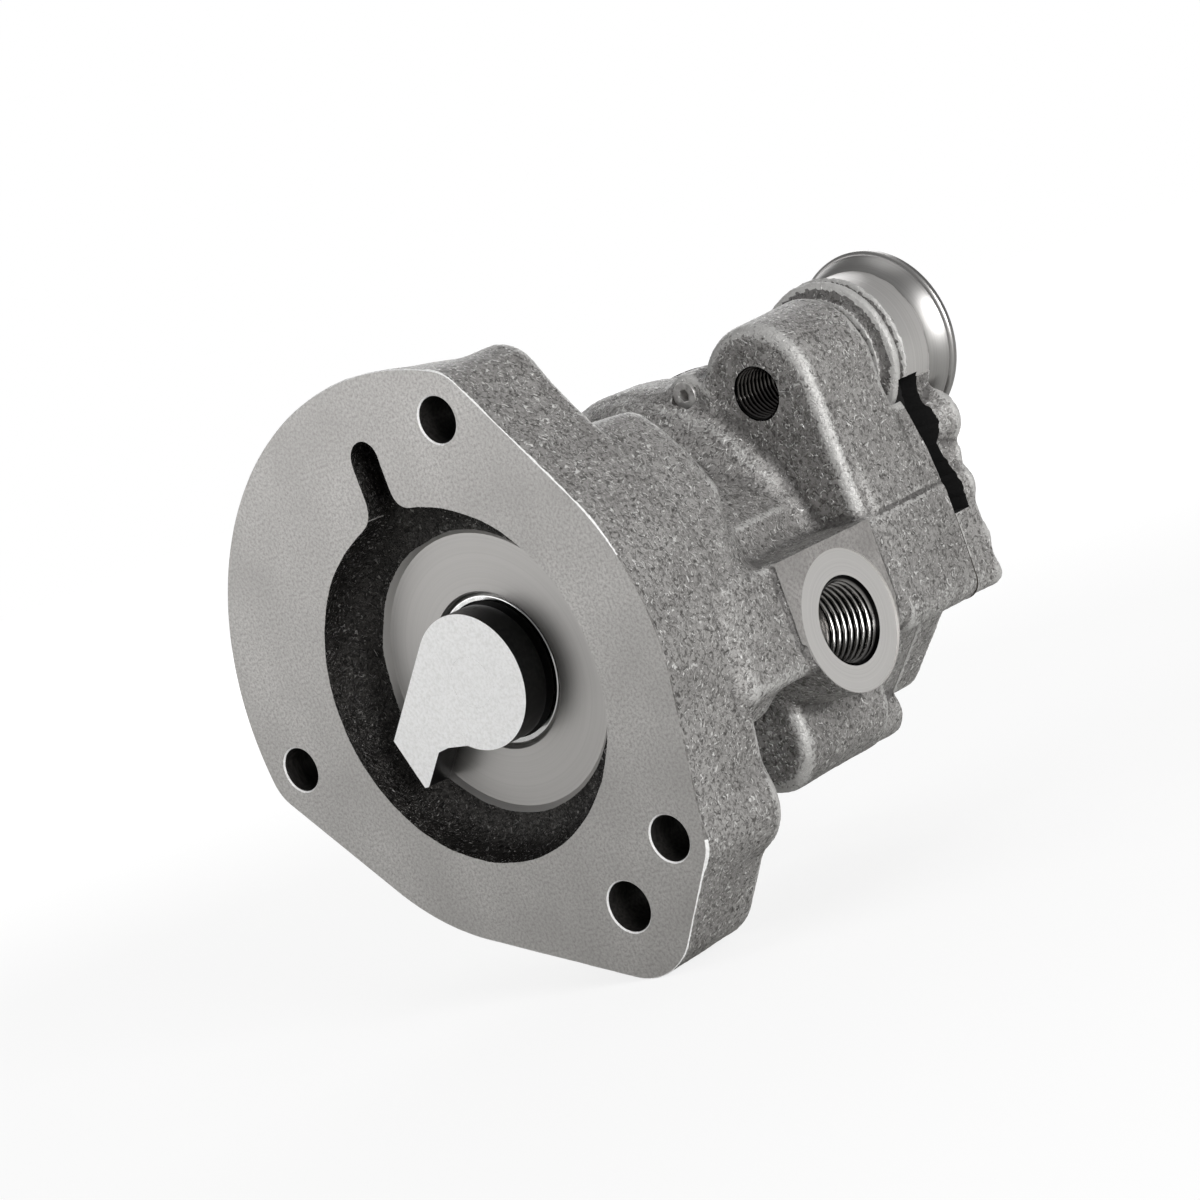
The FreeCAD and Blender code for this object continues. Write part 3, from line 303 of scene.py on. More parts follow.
def threadCutter(name, size, centre, axis, materials):
    # the space inside a tapped hole: a helical groove between the crest and root radii
    perTurn, turnSteps = 14, 84
    length = size["depth"] - size["start"]
    rows = int(length / size["pitch"] * perTurn)
    turns = np.arange(turnSteps) / turnSteps * math.tau
    points, faces = [], []
    direction = size["direction"]
    for row in range(rows + 1):
        along = size["start"] + length * row / rows
        phase = (along / size["pitch"] - turns / math.tau) % 1
        ridge = np.clip(np.abs(phase - 0.5) * 2.9 - 0.45, 0, 1)
        radius = size["crestRadius"] + (size["rootRadius"] - size["crestRadius"]) * ridge
        mouth = size["mouthRadius"] - (along - size["start"]) * size["mouthSlope"]
        radius = np.maximum(radius, mouth)
        points.extend(aroundAxis(axis, centre, radius, direction * along, turns))
    for row in range(rows):
        for k in range(turnSteps):
            m = (k + 1) % turnSteps
            a, b = row * turnSteps, (row + 1) * turnSteps
            faces.append((a + k, b + k, b + m, a + m))
    last = rows * turnSteps
    faces.append(tuple(range(turnSteps)))
    faces.append(tuple(last + k for k in range(turnSteps))[::-1])
    return meshPiece(name, points, faces, materials, [0] * len(faces))


def applyModifiers(piece):
    piece.data = bpy.data.meshes.new_from_object(piece.evaluated_get(bpy.context.evaluated_depsgraph_get()))
    piece.modifiers.clear()


def cutAway(piece, cutters):
    # crisp machined cuts; each face that a cutter leaves takes the cutter's material
    for cutter in cutters:
        change = piece.modifiers.new("cut", "BOOLEAN")
        change.solver = "MANIFOLD"
        change.operation = "DIFFERENCE"
        change.material_mode = "TRANSFER"
        change.object = cutter
    applyModifiers(piece)
    for cutter in cutters:
        bpy.data.objects.remove(cutter)


def markEdges(piece, block, bend):
    # keeps on each vertex how sharply the casting bends there, for the wear on its edges and the painted
    # shade in its corners
    points = np.empty(len(piece.data.vertices) * 3, np.float32)
    piece.data.vertices.foreach_get("co", points)
    bend = block.sample(bend, points.reshape(-1, 3) / millimetre)
    piece.data.attributes.new("bend", "FLOAT", "POINT").data.foreach_set("value", bend.astype(np.float32))


def repaint(piece, old, new, chosen):
    # gives the faces of one finish that the test picks out another finish
    materials = list(piece.data.materials)
    if new not in materials:
        piece.data.materials.append(new)
        materials.append(new)
    count = len(piece.data.polygons)
    centres, finishes = np.empty(count * 3, np.float32), np.empty(count, np.int32)
    piece.data.polygons.foreach_get("center", centres)
    piece.data.polygons.foreach_get("material_index", finishes)
    picked = chosen(*(centres.reshape(-1, 3) / millimetre).T) & (finishes == materials.index(old))
    finishes[picked] = materials.index(new)
    piece.data.polygons.foreach_set("material_index", finishes)


def shade(piece, angle=32):
    # smooth shading that stays crisp on the machined edges
    piece.data.polygons.foreach_set("use_smooth", [True] * len(piece.data.polygons))
    piece.data.set_sharp_from_angle(angle=math.radians(angle))


def report(words):
    print("stage:", words, flush=True)


# Finishes

def linear(code):
    # an sRGB hex colour as the linear colour that the shader wants
    channels = [int(code[i:i + 2], 16) / 255 for i in (1, 3, 5)]
    return [c / 12.92 if c <= 0.04045 else ((c + 0.055) / 1.055) ** 2.4 for c in channels] + [1]


def addNode(tree, kind, output=0, inputs=(), **settings):
    # a node with its settings and links, its inputs by name or in order; gives back the output in use
    node = tree.nodes.new("ShaderNode" + kind)
    for name, value in settings.items():
        setattr(node, name, value)
    for name, value in inputs.items() if isinstance(inputs, dict) else enumerate(inputs):
        if isinstance(value, bpy.types.NodeSocket):
            tree.links.new(value, node.inputs[name])
        else:
            node.inputs[name].default_value = value
    return node.outputs[output] if len(node.outputs) else None


def newMaterial(name):
    material = bpy.data.materials.new(name)
    material.use_nodes = True
    tree = material.node_tree
    tree.nodes.clear()
    return material, tree, addNode(tree, "TexCoord", "Object")


def perMetre(millimetres):
    # a pattern's scale from its real size
    return 1000 / millimetres


def twoTones(tree, value, low, high, look):
    # from the finish's dark tone to its light one, as the value rises
    share = addNode(tree, "MapRange", 0, [value, low, high])
    return addNode(tree, "Mix", 2, {
        0: share, 6: linear(look["dark"]), 7: linear(look["light"])}, data_type="RGBA")


def finished(material, tree, base, bump, look, roughness=None):
    # bump is its strength, its depth in mm and its height
    inputs = {"Base Color": base, "Metallic": look["metallic"],
              "Roughness": look["roughness"] if roughness is None else roughness}
    if bump:
        strength, depth, height = bump
        inputs["Normal"] = addNode(tree, "Bump", 0, {
            "Strength": strength, "Distance": depth * millimetre, "Height": height})
    addNode(tree, "OutputMaterial", None, [addNode(tree, "BsdfPrincipled", 0, inputs)])
    return material


def sandCastIron(name, look):
    # grey cast iron from a sand mould, shot-blasted: a dull neutral grey skin of fine sand grain with
    # short bright flecks, worn brighter along outer edges, with painted shade darkening the corners; such
    # sand grain is typically 0.3 mm and is drawn coarser here, so that it shows
    material, tree, place = newMaterial(name)
    grain = addNode(tree, "TexNoise", "Fac", {
        "Vector": place, "Scale": perMetre(look["grainSize"]), "Detail": 3.0, "Roughness": 0.6,
        "Distortion": 1.1})
    streak = addNode(tree, "TexNoise", "Fac", {
        "Vector": place, "Scale": perMetre(look["fleckSize"]), "Detail": 1.0, "Distortion": 2.6})
    cloud = addNode(tree, "TexNoise", "Fac", {
        "Vector": place, "Scale": perMetre(look["cloudSize"]), "Detail": 3.0})
    bend = addNode(tree, "Attribute", "Fac", attribute_name="bend")
    pit = addNode(tree, "MapRange", 0, [grain, *look["pitRange"]])
    fleck = addNode(tree, "MapRange", 0, [streak, *look["fleckRange"]])
    broken = addNode(tree, "Math", 0, [streak, look["edgeBreak"], bend], operation="MULTIPLY_ADD")
    worn = addNode(tree, "MapRange", 0, [broken, *look["edgeRange"], 0, look["edgeShare"]])
    # painted shade: darker where the surface bends into a corner
    paintedShade = addNode(tree, "MapRange", 0, [bend, *look["cornerShadeRange"], look["cornerShadeShare"], 0])
    base = twoTones(tree, cloud, 0.35, 0.65, look)
    base = addNode(tree, "Mix", 2, {0: pit, 6: linear(look["pit"]), 7: base}, data_type="RGBA")
    for share, colour in ((fleck, "fleck"), (worn, "edge"), (paintedShade, "paintedCornerShade")):
        base = addNode(tree, "Mix", 2, {0: share, 6: base, 7: linear(look[colour])}, data_type="RGBA")
    height = addNode(tree, "Math", 0, [fleck, 0.5, grain], operation="MULTIPLY_ADD")
    roughness = addNode(tree, "MapRange", 0, [fleck, 0, 1, look["roughness"], look["fleckRoughness"]])
    return finished(material, tree, base, (look["bump"], look["grainDepth"], height), look, roughness)


def groundIron(name, look):
    # a machined cast iron face: light grey, with a faint mottle of graphite; its grinding lines are
    # too fine to show and are drawn as a coarser speckle
    material, tree, place = newMaterial(name)
    fine = addNode(tree, "TexNoise", "Fac", {
        "Vector": place, "Scale": perMetre(look["grainSize"]), "Detail": 3.0, "Roughness": 0.7})
    cloud = addNode(tree, "TexNoise", "Fac", {
        "Vector": place, "Scale": perMetre(look["cloudSize"]), "Detail": 2.0})
    base = twoTones(tree, cloud, 0.3, 0.7, look)
    share = addNode(tree, "MapRange", 0, [fine, 0.35, 0.6])
    base = addNode(tree, "Mix", 2, {0: share, 6: linear(look["speck"]), 7: base}, data_type="RGBA")
    return finished(material, tree, base, (look["bump"], look["grainDepth"], fine), look)


def turnedSteel(name, look):
    # metal cut on a lathe: fine concentric tool lines round its own axis, drawn several times coarser
    # than a typical feed of 0.1 mm, so that they show
    material, tree, place = newMaterial(name)
    centre = [c * millimetre for c in look["centre"]]
    offset = addNode(tree, "VectorMath", 0, [place, centre], operation="SUBTRACT")
    split = addNode(tree, "SeparateXYZ", 0, [offset]).node.outputs
    across, along = ("X", "Y") if look["axis"] == "Y" else ("Y", "X")
    flat = addNode(tree, "CombineXYZ", 0, {"X": split[across], "Z": split["Z"]})
    radius = addNode(tree, "VectorMath", "Value", [flat], operation="LENGTH")
    rings = addNode(tree, "CombineXYZ", 0, {"X": radius, "Y": split[along]})
    lines = addNode(tree, "TexNoise", "Fac", {
        "Vector": rings, "Scale": perMetre(look["lineSize"]), "Detail": 3.0, "Roughness": 0.6})
    fine = addNode(tree, "TexNoise", "Fac", {"Vector": place, "Scale": perMetre(0.6), "Detail": 2.0})
    base = twoTones(tree, lines, 0.35, 0.65, look)
    height = addNode(tree, "Math", 0, [fine, 0.3, lines], operation="MULTIPLY_ADD")
    return finished(material, tree, base, (look["bump"], look["lineDepth"], height), look)


def cutThread(name, look):
    # a tapped thread: lighter crests over roots painted dark as shade
    material, tree, place = newMaterial(name)
    centre = [c * millimetre for c in look["centre"]]
    offset = addNode(tree, "VectorMath", 0, [place, centre], operation="SUBTRACT")
    flat = addNode(tree, "VectorMath", 0, [offset, look["across"]], operation="MULTIPLY")
    radius = addNode(tree, "VectorMath", "Value", [flat], operation="LENGTH")
    share = addNode(tree, "MapRange", 0, [radius, look["crest"] * millimetre, look["root"] * millimetre])
    base = addNode(tree, "Mix", 2, {
        0: share, 6: linear(look["light"]), 7: linear(look["dark"])}, data_type="RGBA")
    return finished(material, tree, base, None, look)


def plainFinish(name, look):
    # small or hidden pieces: one colour with a grain that breaks up its gloss, drawn coarse to show
    material, tree, place = newMaterial(name)
    grain = addNode(tree, "TexNoise", "Fac", {
        "Vector": place, "Scale": perMetre(look["grainSize"]), "Detail": 3.0})
    base = twoTones(tree, grain, 0.35, 0.65, look)
    low, high = look["roughness"] * 0.85, look["roughness"] * 1.15
    roughness = addNode(tree, "MapRange", 0, [grain, 0.3, 0.7, low, high])
    return finished(material, tree, base, (0.3, look["grainDepth"], grain), look, roughness)


# the skin that sand casting and shot blasting leave, with sizes in mm and sRGB colours
castLook = {
    "grainSize": 1.05, "grainDepth": 0.3, "fleckSize": 1.9, "cloudSize": 16.0, "bump": 0.9,
    "fleckRange": (0.62, 0.71), "pitRange": (0.34, 0.56), "dark": "#8f8d8b", "light": "#a3a19f",
    "pit": "#4b4947", "fleck": "#dddcda", "edge": "#c6c5c3", "edgeRange": (0.62, 0.8), "edgeBreak": 0.95,
    # the corner values give painted shade where the casting bends inward
    "edgeShare": 0.75, "cornerShadeRange": (-0.35, -0.06), "cornerShadeShare": 0.6, "paintedCornerShade": "#3c3a39",
    "metallic": 0.35, "roughness": 0.5, "fleckRoughness": 0.34}
castIron = sandCastIron("sandCastIron", castLook)
# unblasted skin in the recess, glossier; its near-black tone is painted shade
recessShadeIron = sandCastIron("recessPaintedShadeIron", {
    **castLook, "dark": "#302f2d", "light": "#474543", "pit": "#11100f", "fleck": "#9a9896",
    "fleckSize": 1.6, "fleckRange": (0.62, 0.7), "edge": "#7c7a78", "paintedCornerShade": "#0d0c0c",
    "metallic": 0.7, "roughness": 0.27, "bump": 2.0})
# ground flange face: even light grey, faintly mottled by graphite
faceIron = groundIron("groundFaceIron", {
    "grainSize": 0.7, "grainDepth": 0.02, "cloudSize": 24.0, "bump": 0.35, "dark": "#adaba9",
    "light": "#bfbdbb", "speck": "#989694", "metallic": 0.9, "roughness": 0.42})
# freshly chamfered edges: bare metal, painted nearly white as a highlight
chamferHighlightIron = groundIron("chamferPaintedHighlight", {
    "grainSize": 0.7, "grainDepth": 0.02, "cloudSize": 12.0, "bump": 0.3, "dark": "#f2f2f1",
    "light": "#fbfbfb", "speck": "#e2e1e0", "metallic": 0.0, "roughness": 0.35})
# the same chamfer where it is worn dull
wornIron = groundIron("wornEdgeIron", {
    "grainSize": 1.6, "grainDepth": 0.02, "cloudSize": 9.0, "bump": 0.3, "dark": "#6d6b69",
    "light": "#b3b1af", "speck": "#5d5b59", "metallic": 0.6, "roughness": 0.45})
# turned seat round the shaft seal: fine rings, smooth
landIron = turnedSteel("turnedLandIron", {
    "centre": (0, 0, 0), "axis": "Y", "lineSize": 0.5, "lineDepth": 0.004, "bump": 0.25, "dark": "#aeacaa",
    "light": "#b4b2b0", "metallic": 0.9, "roughness": 0.4})
# drilled and bored walls: painted dark as shade, with coarse tool rings
boreShadeIron = turnedSteel("drilledIronPaintedShade", {
    "centre": (0, 0, 0), "axis": "Y", "lineSize": 0.9, "lineDepth": 0.02, "bump": 0.5, "dark": "#2e2c2b",
    "light": "#4a4846", "metallic": 0.6, "roughness": 0.36})
# spotface of the side port: freshly cut, bright rings
spotIron = turnedSteel("spotfacedIron", {
    "centre": (0, 62, -16), "axis": "X", "lineSize": 0.6, "lineDepth": 0.008, "bump": 0.3,
    "dark": "#d0cecc", "light": "#dad8d6", "metallic": 0.7, "roughness": 0.4})
# milled facet round the port: a little darker than the spotface
facetIron = groundIron("milledFacetIron", {
    "grainSize": 0.9, "grainDepth": 0.02, "cloudSize": 9.0, "bump": 0.3, "dark": "#aba8a6",
    "light": "#bdbab8", "speck": "#989593", "metallic": 0.7, "roughness": 0.45})
# threads, tapped, with painted shade in their roots
portThreadPaintedShade = cutThread("portThreadPaintedShade", {
    "centre": (0, 62, -16), "across": (0, 1, 1), "crest": 9.5, "root": 9.95, "dark": "#0d0c0c",
    "light": "#a7a5a3", "metallic": 1.0, "roughness": 0.24})
gaugeThreadPaintedShade = cutThread("gaugeThreadPaintedShade", {
    "centre": (44.7, 0, 38.8), "across": (1, 0, 1), "crest": 6.1, "root": 6.4, "dark": "#080808",
    "light": "#63615f", "metallic": 1.0, "roughness": 0.2})
# inside of the cover's window: sand-rough, painted nearly black as shade
windowPaintedShade = plainFinish("windowShadePocket", {
    "grainSize": 1.0, "grainDepth": 0.1, "dark": "#060606", "light": "#0e0d0d", "metallic": 0.0,
    "roughness": 0.9})
report("finishes made")


# Cast pump housing

flange = {
    "front": -6.0, "thickness": 26.0, "draft": 1.0, "boltCircle": 63.5, "rim": 75.0, "waist": 63.3,
    "rounding": 2.4, "drawn": 7.0, "drawnFrom": (66, 78), "drawnTo": (125, 150), "topBoss": 11.8,
    "topCone": 0.14, "top": 69.6, "left": 189.0, "right": 316.0, "low": 294.7, "rightLug": 10.5,
    "lowLug": 17.5, "boss": 10.3, "bossGrowth": 0.1, "chamfer": 0.42, "chamferOut": (0.8, 4.0),
    "holeRadius": 5.5, "lowHoleRadius": 6.1, "holeChamfer": 0.35, "wornEdge": (-38, 18)}
recess = {
    "radius": 42.6, "depth": 11.0, "corner": 7.8, "landRadius": 34.5, "landBevel": 1.4, "sealBore": 18.8,
    "slotAcross": -4.2, "slotHalfWidth": 4.3, "slotTop": 56.0, "slotBottom": 30.0, "slotDepth": 9.0,
    "slotRounding": 2.6, "slotBlend": 5.0, "rim": 0.5}
body = {
    "space": ((-79, -2.5, -80), (68, 114.5, 80)), "step": 0.62, "grain": 0.03, "broadSkin": (7.0, 0.1),
    "fineSkin": (2.6, 0.045), "skinInset": 0.16, "seam": 112.0, "through": 120.0, "side": 63.4,
    "top": 3.5, "bottom": -23.5, "corner": 4.0, "edge": 2.0,
    "profile": ((8, 36), (67.5, 36), (76.5, 46.8), (82.5, 49.2), (93, 49.2), (103, 45.5), (107, 45.5),
                (109.1, 47.6), (125, 47.6))}
neck = {
    "end": 44.0, "top": 46.6, "bottom": -28.7, "left": -16.0, "corner": 6.0, "rounding": 5.0, "inset": 0.6,
    "front": 8.0, "softBelow": (14.0, 24.0), "softRounding": 13.0, "saddleHeights": (-8.0, 12.0),
    "saddleFade": 0.5, "saddleBlend": 7.0, "saddleInner": 20.0,
    "saddle": ((26, 57), (40, 55), (52, 49.5), (66, 48), (78, 47))}
rear = {
    "front": 84.0, "bottom": -25.6, "corner": 5.0, "rounding": 2.0, "flankCircle": 46.5,
    "flankAngles": (300.6, 328.6), "earCircle": 52.4, "earAngle": 294.2, "earRadius": 6.6,
    "earFront": 100.0, "eye": 12.0}
port = {
    "along": 62.0, "height": -16.0, "face": 64.0, "boss": 17.2, "spot": 16.9, "spotDepth": 0.5,
    "facet": (43.0, 80.0, -16.0, 3.5), "blockFront": 22.0, "blockRounding": 4.0, "allowance": 1.4,
    "drill": 6.0, "drillDepths": (-15, -10), "bossFrom": 14.0, "bossRounding": 0.6, "facetFrom": 36.0,
    "facetRounding": 0.5}
portThread = {
    "start": -0.6, "depth": 14.5, "pitch": 1.814, "crestRadius": 9.3, "rootRadius": 10.48,
    "mouthRadius": 11.2, "mouthSlope": 1.0, "direction": -1}
lug = {
    "across": 44.7, "height": 38.8, "radius": 16.3, "growth": 0.044, "front": 80.0, "back": 106.0,
    "rounding": 3.0, "seat": 20.6}
gaugeThread = {
    "start": -0.6, "depth": 20.0, "pitch": 1.5, "crestRadius": 5.95, "rootRadius": 6.8, "mouthRadius": 7.4,
    "mouthSlope": 1.0, "direction": 1}
web = {"top": 46.0, "bottom": 16.0, "back": 92.0, "rounding": 1.6}
plug = {"across": 23.7, "height": 43.6, "pad": 5.0, "radius": 3.4, "length": 6.0}
foot = {
    "front": 51.0, "back": 86.0, "across": 35.5, "height": -38.5, "radius": 12.5, "left": 16.0,
    "rounding": 3.0}
screws = {
    "angles": (15, 66, 125, 172, 220, 272, 333), "circle": 43.5, "boss": 6.5, "hole": 3.0, "holeFront": 96.0,
    "seat": ((0, 110), (3.4, 110), (3.4, 118), (5.4, 118), (5.4, 123.6), (6.0, 124.2), (6.0, 130), (0, 130))}
bores = {  # radius and place along the shaft, from the seal's seat to the impeller's chamber
    "steps": ((17.5, 21.5), (17.5, 66), (13.5, 66), (13.5, 70), (9, 70), (9, 73), (13.5, 73), (13.5, 86),
              (33, 86), (33, 107), (38.5, 107), (38.5, 120), (0, 120)),
    "sealEnd": 21.5, "sealBevel": 0.4}
seams = {  # fine ridges where sand ran into the mould's joints, and the groove of its parting line
    "flashRadius": 0.3, "partingRadius": 0.35, "parting": ((63.4, 80.0, 3.5), (63.4, 112.0, 3.5)),
    "flash": (((62.3, 28.7, -7.9), (61.9, 29.7, -11.1), (61.0, 30.5, -16.8), (60.0, 30.6, -20.5)),
              ((61.5, 24.3, -13.7), (60.0, 24.6, -19.2)))}
window = {  # open pocket in the side, partly in the housing: places along Y, heights in Z
    "low": -5.0, "high": 30.0, "depths": (56, 75), "front": ((112.5, -5), (112.5, 14), (109.8, 30)),
    "edge": ((-5, 119.8), (4, 119.2), (11, 116.8), (21, 117.3), (30, 118.5)),
    "lead": ((112.2, 11), (114, 11), (114, 30), (109.7, 30)), "waves": ((0.14, 1.9, 0), (0.1, 3.3, 2))}
blends = {  # radii of the fillets between neighbouring forms
    "topBoss": 2.0, "rightBoss": 1.5, "neck": 1.2, "block": 4.0, "port": 2.0, "facet": 1.2, "foot": 2.0,
    "barrel": 2.5, "rear": 1.5, "lug": 1.6, "web": 3.0, "seat": 0.8, "screws": 1.5}


def flangeRounds():
    # the flange's outline: round the rim and the four holes, with the waist between
    left, top = polar(flange["boltCircle"], flange["left"]), polar(flange["boltCircle"], flange["top"])
    low, right = polar(flange["boltCircle"], flange["low"]), polar(flange["boltCircle"], flange["right"])
    return [(0, 0, flange["rim"]), (*left, None), (0, 0, flange["waist"]), (*low, flange["lowLug"]),
            (*right, flange["rightLug"]), (0, 0, flange["waist"]), (*top, None)]


def rearOutline(block, side):
    # the block and the screw bosses that the housing's rear and the cover share
    corner, edge = rear["corner"], body["edge"]
    shape = block.rounds([
        (0, rear["bottom"] + corner, corner), (side - corner, rear["bottom"] + corner, corner),
        (side - edge, body["top"] - edge, edge),
        (lug["across"] + lug["radius"] - corner, lug["height"] - lug["radius"] + corner, corner),
        (*polar(screws["circle"], screws["angles"][1]), screws["boss"])])
    for angle in screws["angles"]:
        boss = block.circle(*polar(screws["circle"], angle), screws["boss"])
        shape = smoothUnion(shape, boss, blends["screws"])
    return shape


def flankOutline(block):
    low, high = rear["flankAngles"]
    return block.rounds([
        (0, 0, rear["eye"]), (*polar(rear["flankCircle"], low), rear["corner"]),
        (*polar(rear["flankCircle"], high), rear["corner"])])


def earOutline(block):
    return block.rounds([
        (0, 0, rear["eye"]), (*polar(rear["earCircle"], rear["earAngle"]), rear["earRadius"])])


def neckOutline(block):
    wall, corner = flange["waist"] - neck["inset"], neck["corner"]
    ends = [math.degrees(math.asin(height / (wall - corner)))
            for height in (neck["bottom"] + corner, neck["top"] - corner)]
    return block.rounds([
        (neck["left"] + corner, neck["bottom"] + corner, corner), (*polar(wall - corner, ends[0]), None),
        (0, 0, wall), (*polar(wall - corner, ends[1]), None),
        (neck["left"] + corner, neck["top"] - corner, corner)])


def turnedField(block, profile, slope=0.75):
    # a solid of revolution round the shaft axis, with the corners of its profile softened
    along = block.y.ravel()
    radius = np.interp(along, *zip(*profile))
    width = max(1, round(1.2 / block.step))
    even = np.ones(2 * width + 1) / (2 * width + 1)
    soft = np.convolve(np.pad(radius, width, mode="edge"), even, mode="valid")
    distance = (np.sqrt(block.x ** 2 + block.z ** 2) - soft[None, :, None]) * slope
    return np.maximum(distance, profile[0][0] - block.y)


def castHousing():
    block = Block(*body["space"], body["step"])
    x, y, z = block.x, block.y, block.z
    radius = np.sqrt(x * x + z * z)
    corner = body["corner"]
    # flange, drawn in towards its back at the top left, with straight bosses and a growing right one
    turn = np.degrees(np.arctan2(block.flatZ, block.flatX))[:, None, :]
    rise, fall = flange["drawnFrom"], flange["drawnTo"]
    share = np.clip((turn - rise[0]) / (rise[1] - rise[0]), 0, 1)
    share = share * np.clip((fall[1] - turn) / (fall[1] - fall[0]), 0, 1)
    draft = np.tan(np.radians(flange["draft"] + flange["drawn"] * share))
    span = flange["front"], flange["thickness"], flange["rounding"]
    field = block.prism(block.rounds(flangeRounds()) + y * draft, *span)
    top = block.circle(*polar(flange["boltCircle"], flange["top"]), flange["topBoss"])
    top = top + (flange["thickness"] - y) * flange["topCone"]
    field = smoothUnion(field, block.prism(top, *span), blends["topBoss"])
    right = block.circle(*polar(flange["boltCircle"], flange["right"]), flange["boss"])
    right = right - y * flange["bossGrowth"]
    field = smoothUnion(field, block.prism(right, *span), blends["rightBoss"])
    # neck behind the flange's right half
    low, high = neck["softBelow"]
    rounding = np.interp(z.ravel(), (low, high), (neck["softRounding"], neck["rounding"]))[None, None, :]
    wall = roundedJoin(neckOutline(block), between(y, neck["front"], neck["end"]), rounding)
    field = smoothUnion(field, wall, blends["neck"])
    # saddle between neck and drum, fading out above and below
    saddle = turnedField(block, neck["saddle"])
    low, high = neck["saddleHeights"]
    beyond = np.clip(z - high, 0, 40) + np.clip(low - z, 0, 60)
    saddle = np.maximum(saddle + neck["saddleFade"] * beyond, neck["saddleInner"] - x)
    field = smoothUnion(field, saddle, neck["saddleBlend"])
    # side block, port boss and its facet
    side = block.rounds([
        (corner, body["bottom"] + corner, corner), (body["side"] - corner, body["bottom"] + corner, corner),
        (body["side"] - body["edge"], body["top"] - body["edge"], body["edge"]),
        (corner, body["top"] - corner, corner)])
    side = block.prism(side, port["blockFront"], body["through"], port["blockRounding"])
    field = smoothUnion(field, side, blends["block"])
    boss = np.sqrt((y - port["along"]) ** 2 + (z - port["height"]) ** 2) - port["boss"]
    face = port["face"] + port["allowance"]
    boss = roundedJoin(boss, between(x, port["bossFrom"], face), port["bossRounding"])
    field = smoothUnion(field, boss, blends["port"])
    front, back, low, high = port["facet"]
    facet = np.maximum(between(y, front, back), between(z, low, high))
    facet = roundedJoin(facet, between(x, port["facetFrom"], face), port["facetRounding"])
    field = smoothUnion(field, facet, blends["facet"])
    # foot under the port
    stand = block.rounds([
        (foot["across"], foot["height"], foot["radius"]),
        (foot["across"] + foot["radius"] - corner, body["bottom"] + corner, corner),
        (foot["left"] + corner, body["bottom"] + corner, corner),
        (foot["left"] + corner, foot["height"], corner)])
    stand = block.prism(stand, foot["front"], foot["back"], foot["rounding"])
    field = smoothUnion(field, stand, blends["foot"])
    # barrel, stepping up into the drum, and the block behind it
    field = smoothUnion(field, turnedField(block, body["profile"]), blends["barrel"])
    for shape, front in ((rearOutline(block, body["side"]), rear["front"]),
                         (flankOutline(block), rear["front"]), (earOutline(block), rear["earFront"])):
        shape = block.prism(shape, front, body["through"], rear["rounding"])
        field = smoothUnion(field, shape, blends["rear"])
    # lug with the gauge port, and the web beside it with the plug's pad
    spread = lug["radius"] + lug["growth"] * (lug["back"] - lug["front"])
    tower = block.rounds([
        (body["side"] - corner, body["top"] - corner, corner), (lug["across"], lug["height"], spread),
        (lug["across"] - spread + corner, body["top"] - corner, corner)])
    tower = tower + (lug["back"] - y) * lug["growth"]
    tower = block.prism(tower, lug["front"], lug["back"], lug["rounding"])
    field = smoothUnion(field, tower, blends["lug"])
    shelf = block.rounds([
        (lug["across"] - spread, web["bottom"] + corner, corner),
        (lug["across"] - spread, web["top"] - corner, corner),
        (plug["across"], plug["height"], plug["pad"]),
        (plug["across"] - plug["pad"], plug["height"] - corner / 2, corner),
        (plug["across"] - plug["pad"], web["bottom"] + corner, corner)])
    shelf = block.prism(shelf, lug["front"], web["back"], web["rounding"])
    field = smoothUnion(field, shelf, blends["web"])
    # room for the cover's suction boss
    seat = block.circle(lug["across"], lug["height"], lug["seat"])
    field = smoothCut(field, roundedJoin(seat, between(y, lug["back"], 130), 0.1), blends["seat"])
    # recess in the face with its drain slot
    pocket = roundedJoin(radius - recess["radius"], y - recess["depth"], recess["corner"])
    past = np.maximum(between(z, recess["slotBottom"], recess["slotTop"]), 0)
    slot = np.sqrt((x - recess["slotAcross"]) ** 2 + past ** 2) - recess["slotHalfWidth"]
    slot = roundedJoin(slot, y - recess["slotDepth"] + 0 * slot, recess["slotRounding"])
    field = smoothCut(field, smoothUnion(pocket, slot, recess["slotBlend"]), recess["rim"])
    for line in seams["flash"]:
        block.drawLine(field, line, seams["flashRadius"])
    block.drawLine(field, seams["parting"], seams["partingRadius"], False)
    return block, *block.cast("castHousing", field, body)


def inRecess(x, y, z):
    slot = np.abs(x - recess["slotAcross"]) < recess["slotHalfWidth"] + 1.5
    slot &= (z < recess["slotTop"] + 6) & (z > recess["slotBottom"])
    return ((x ** 2 + z ** 2 < (recess["radius"] + 1) ** 2) | slot) & (y < recess["depth"] + 2) & (y > -1)


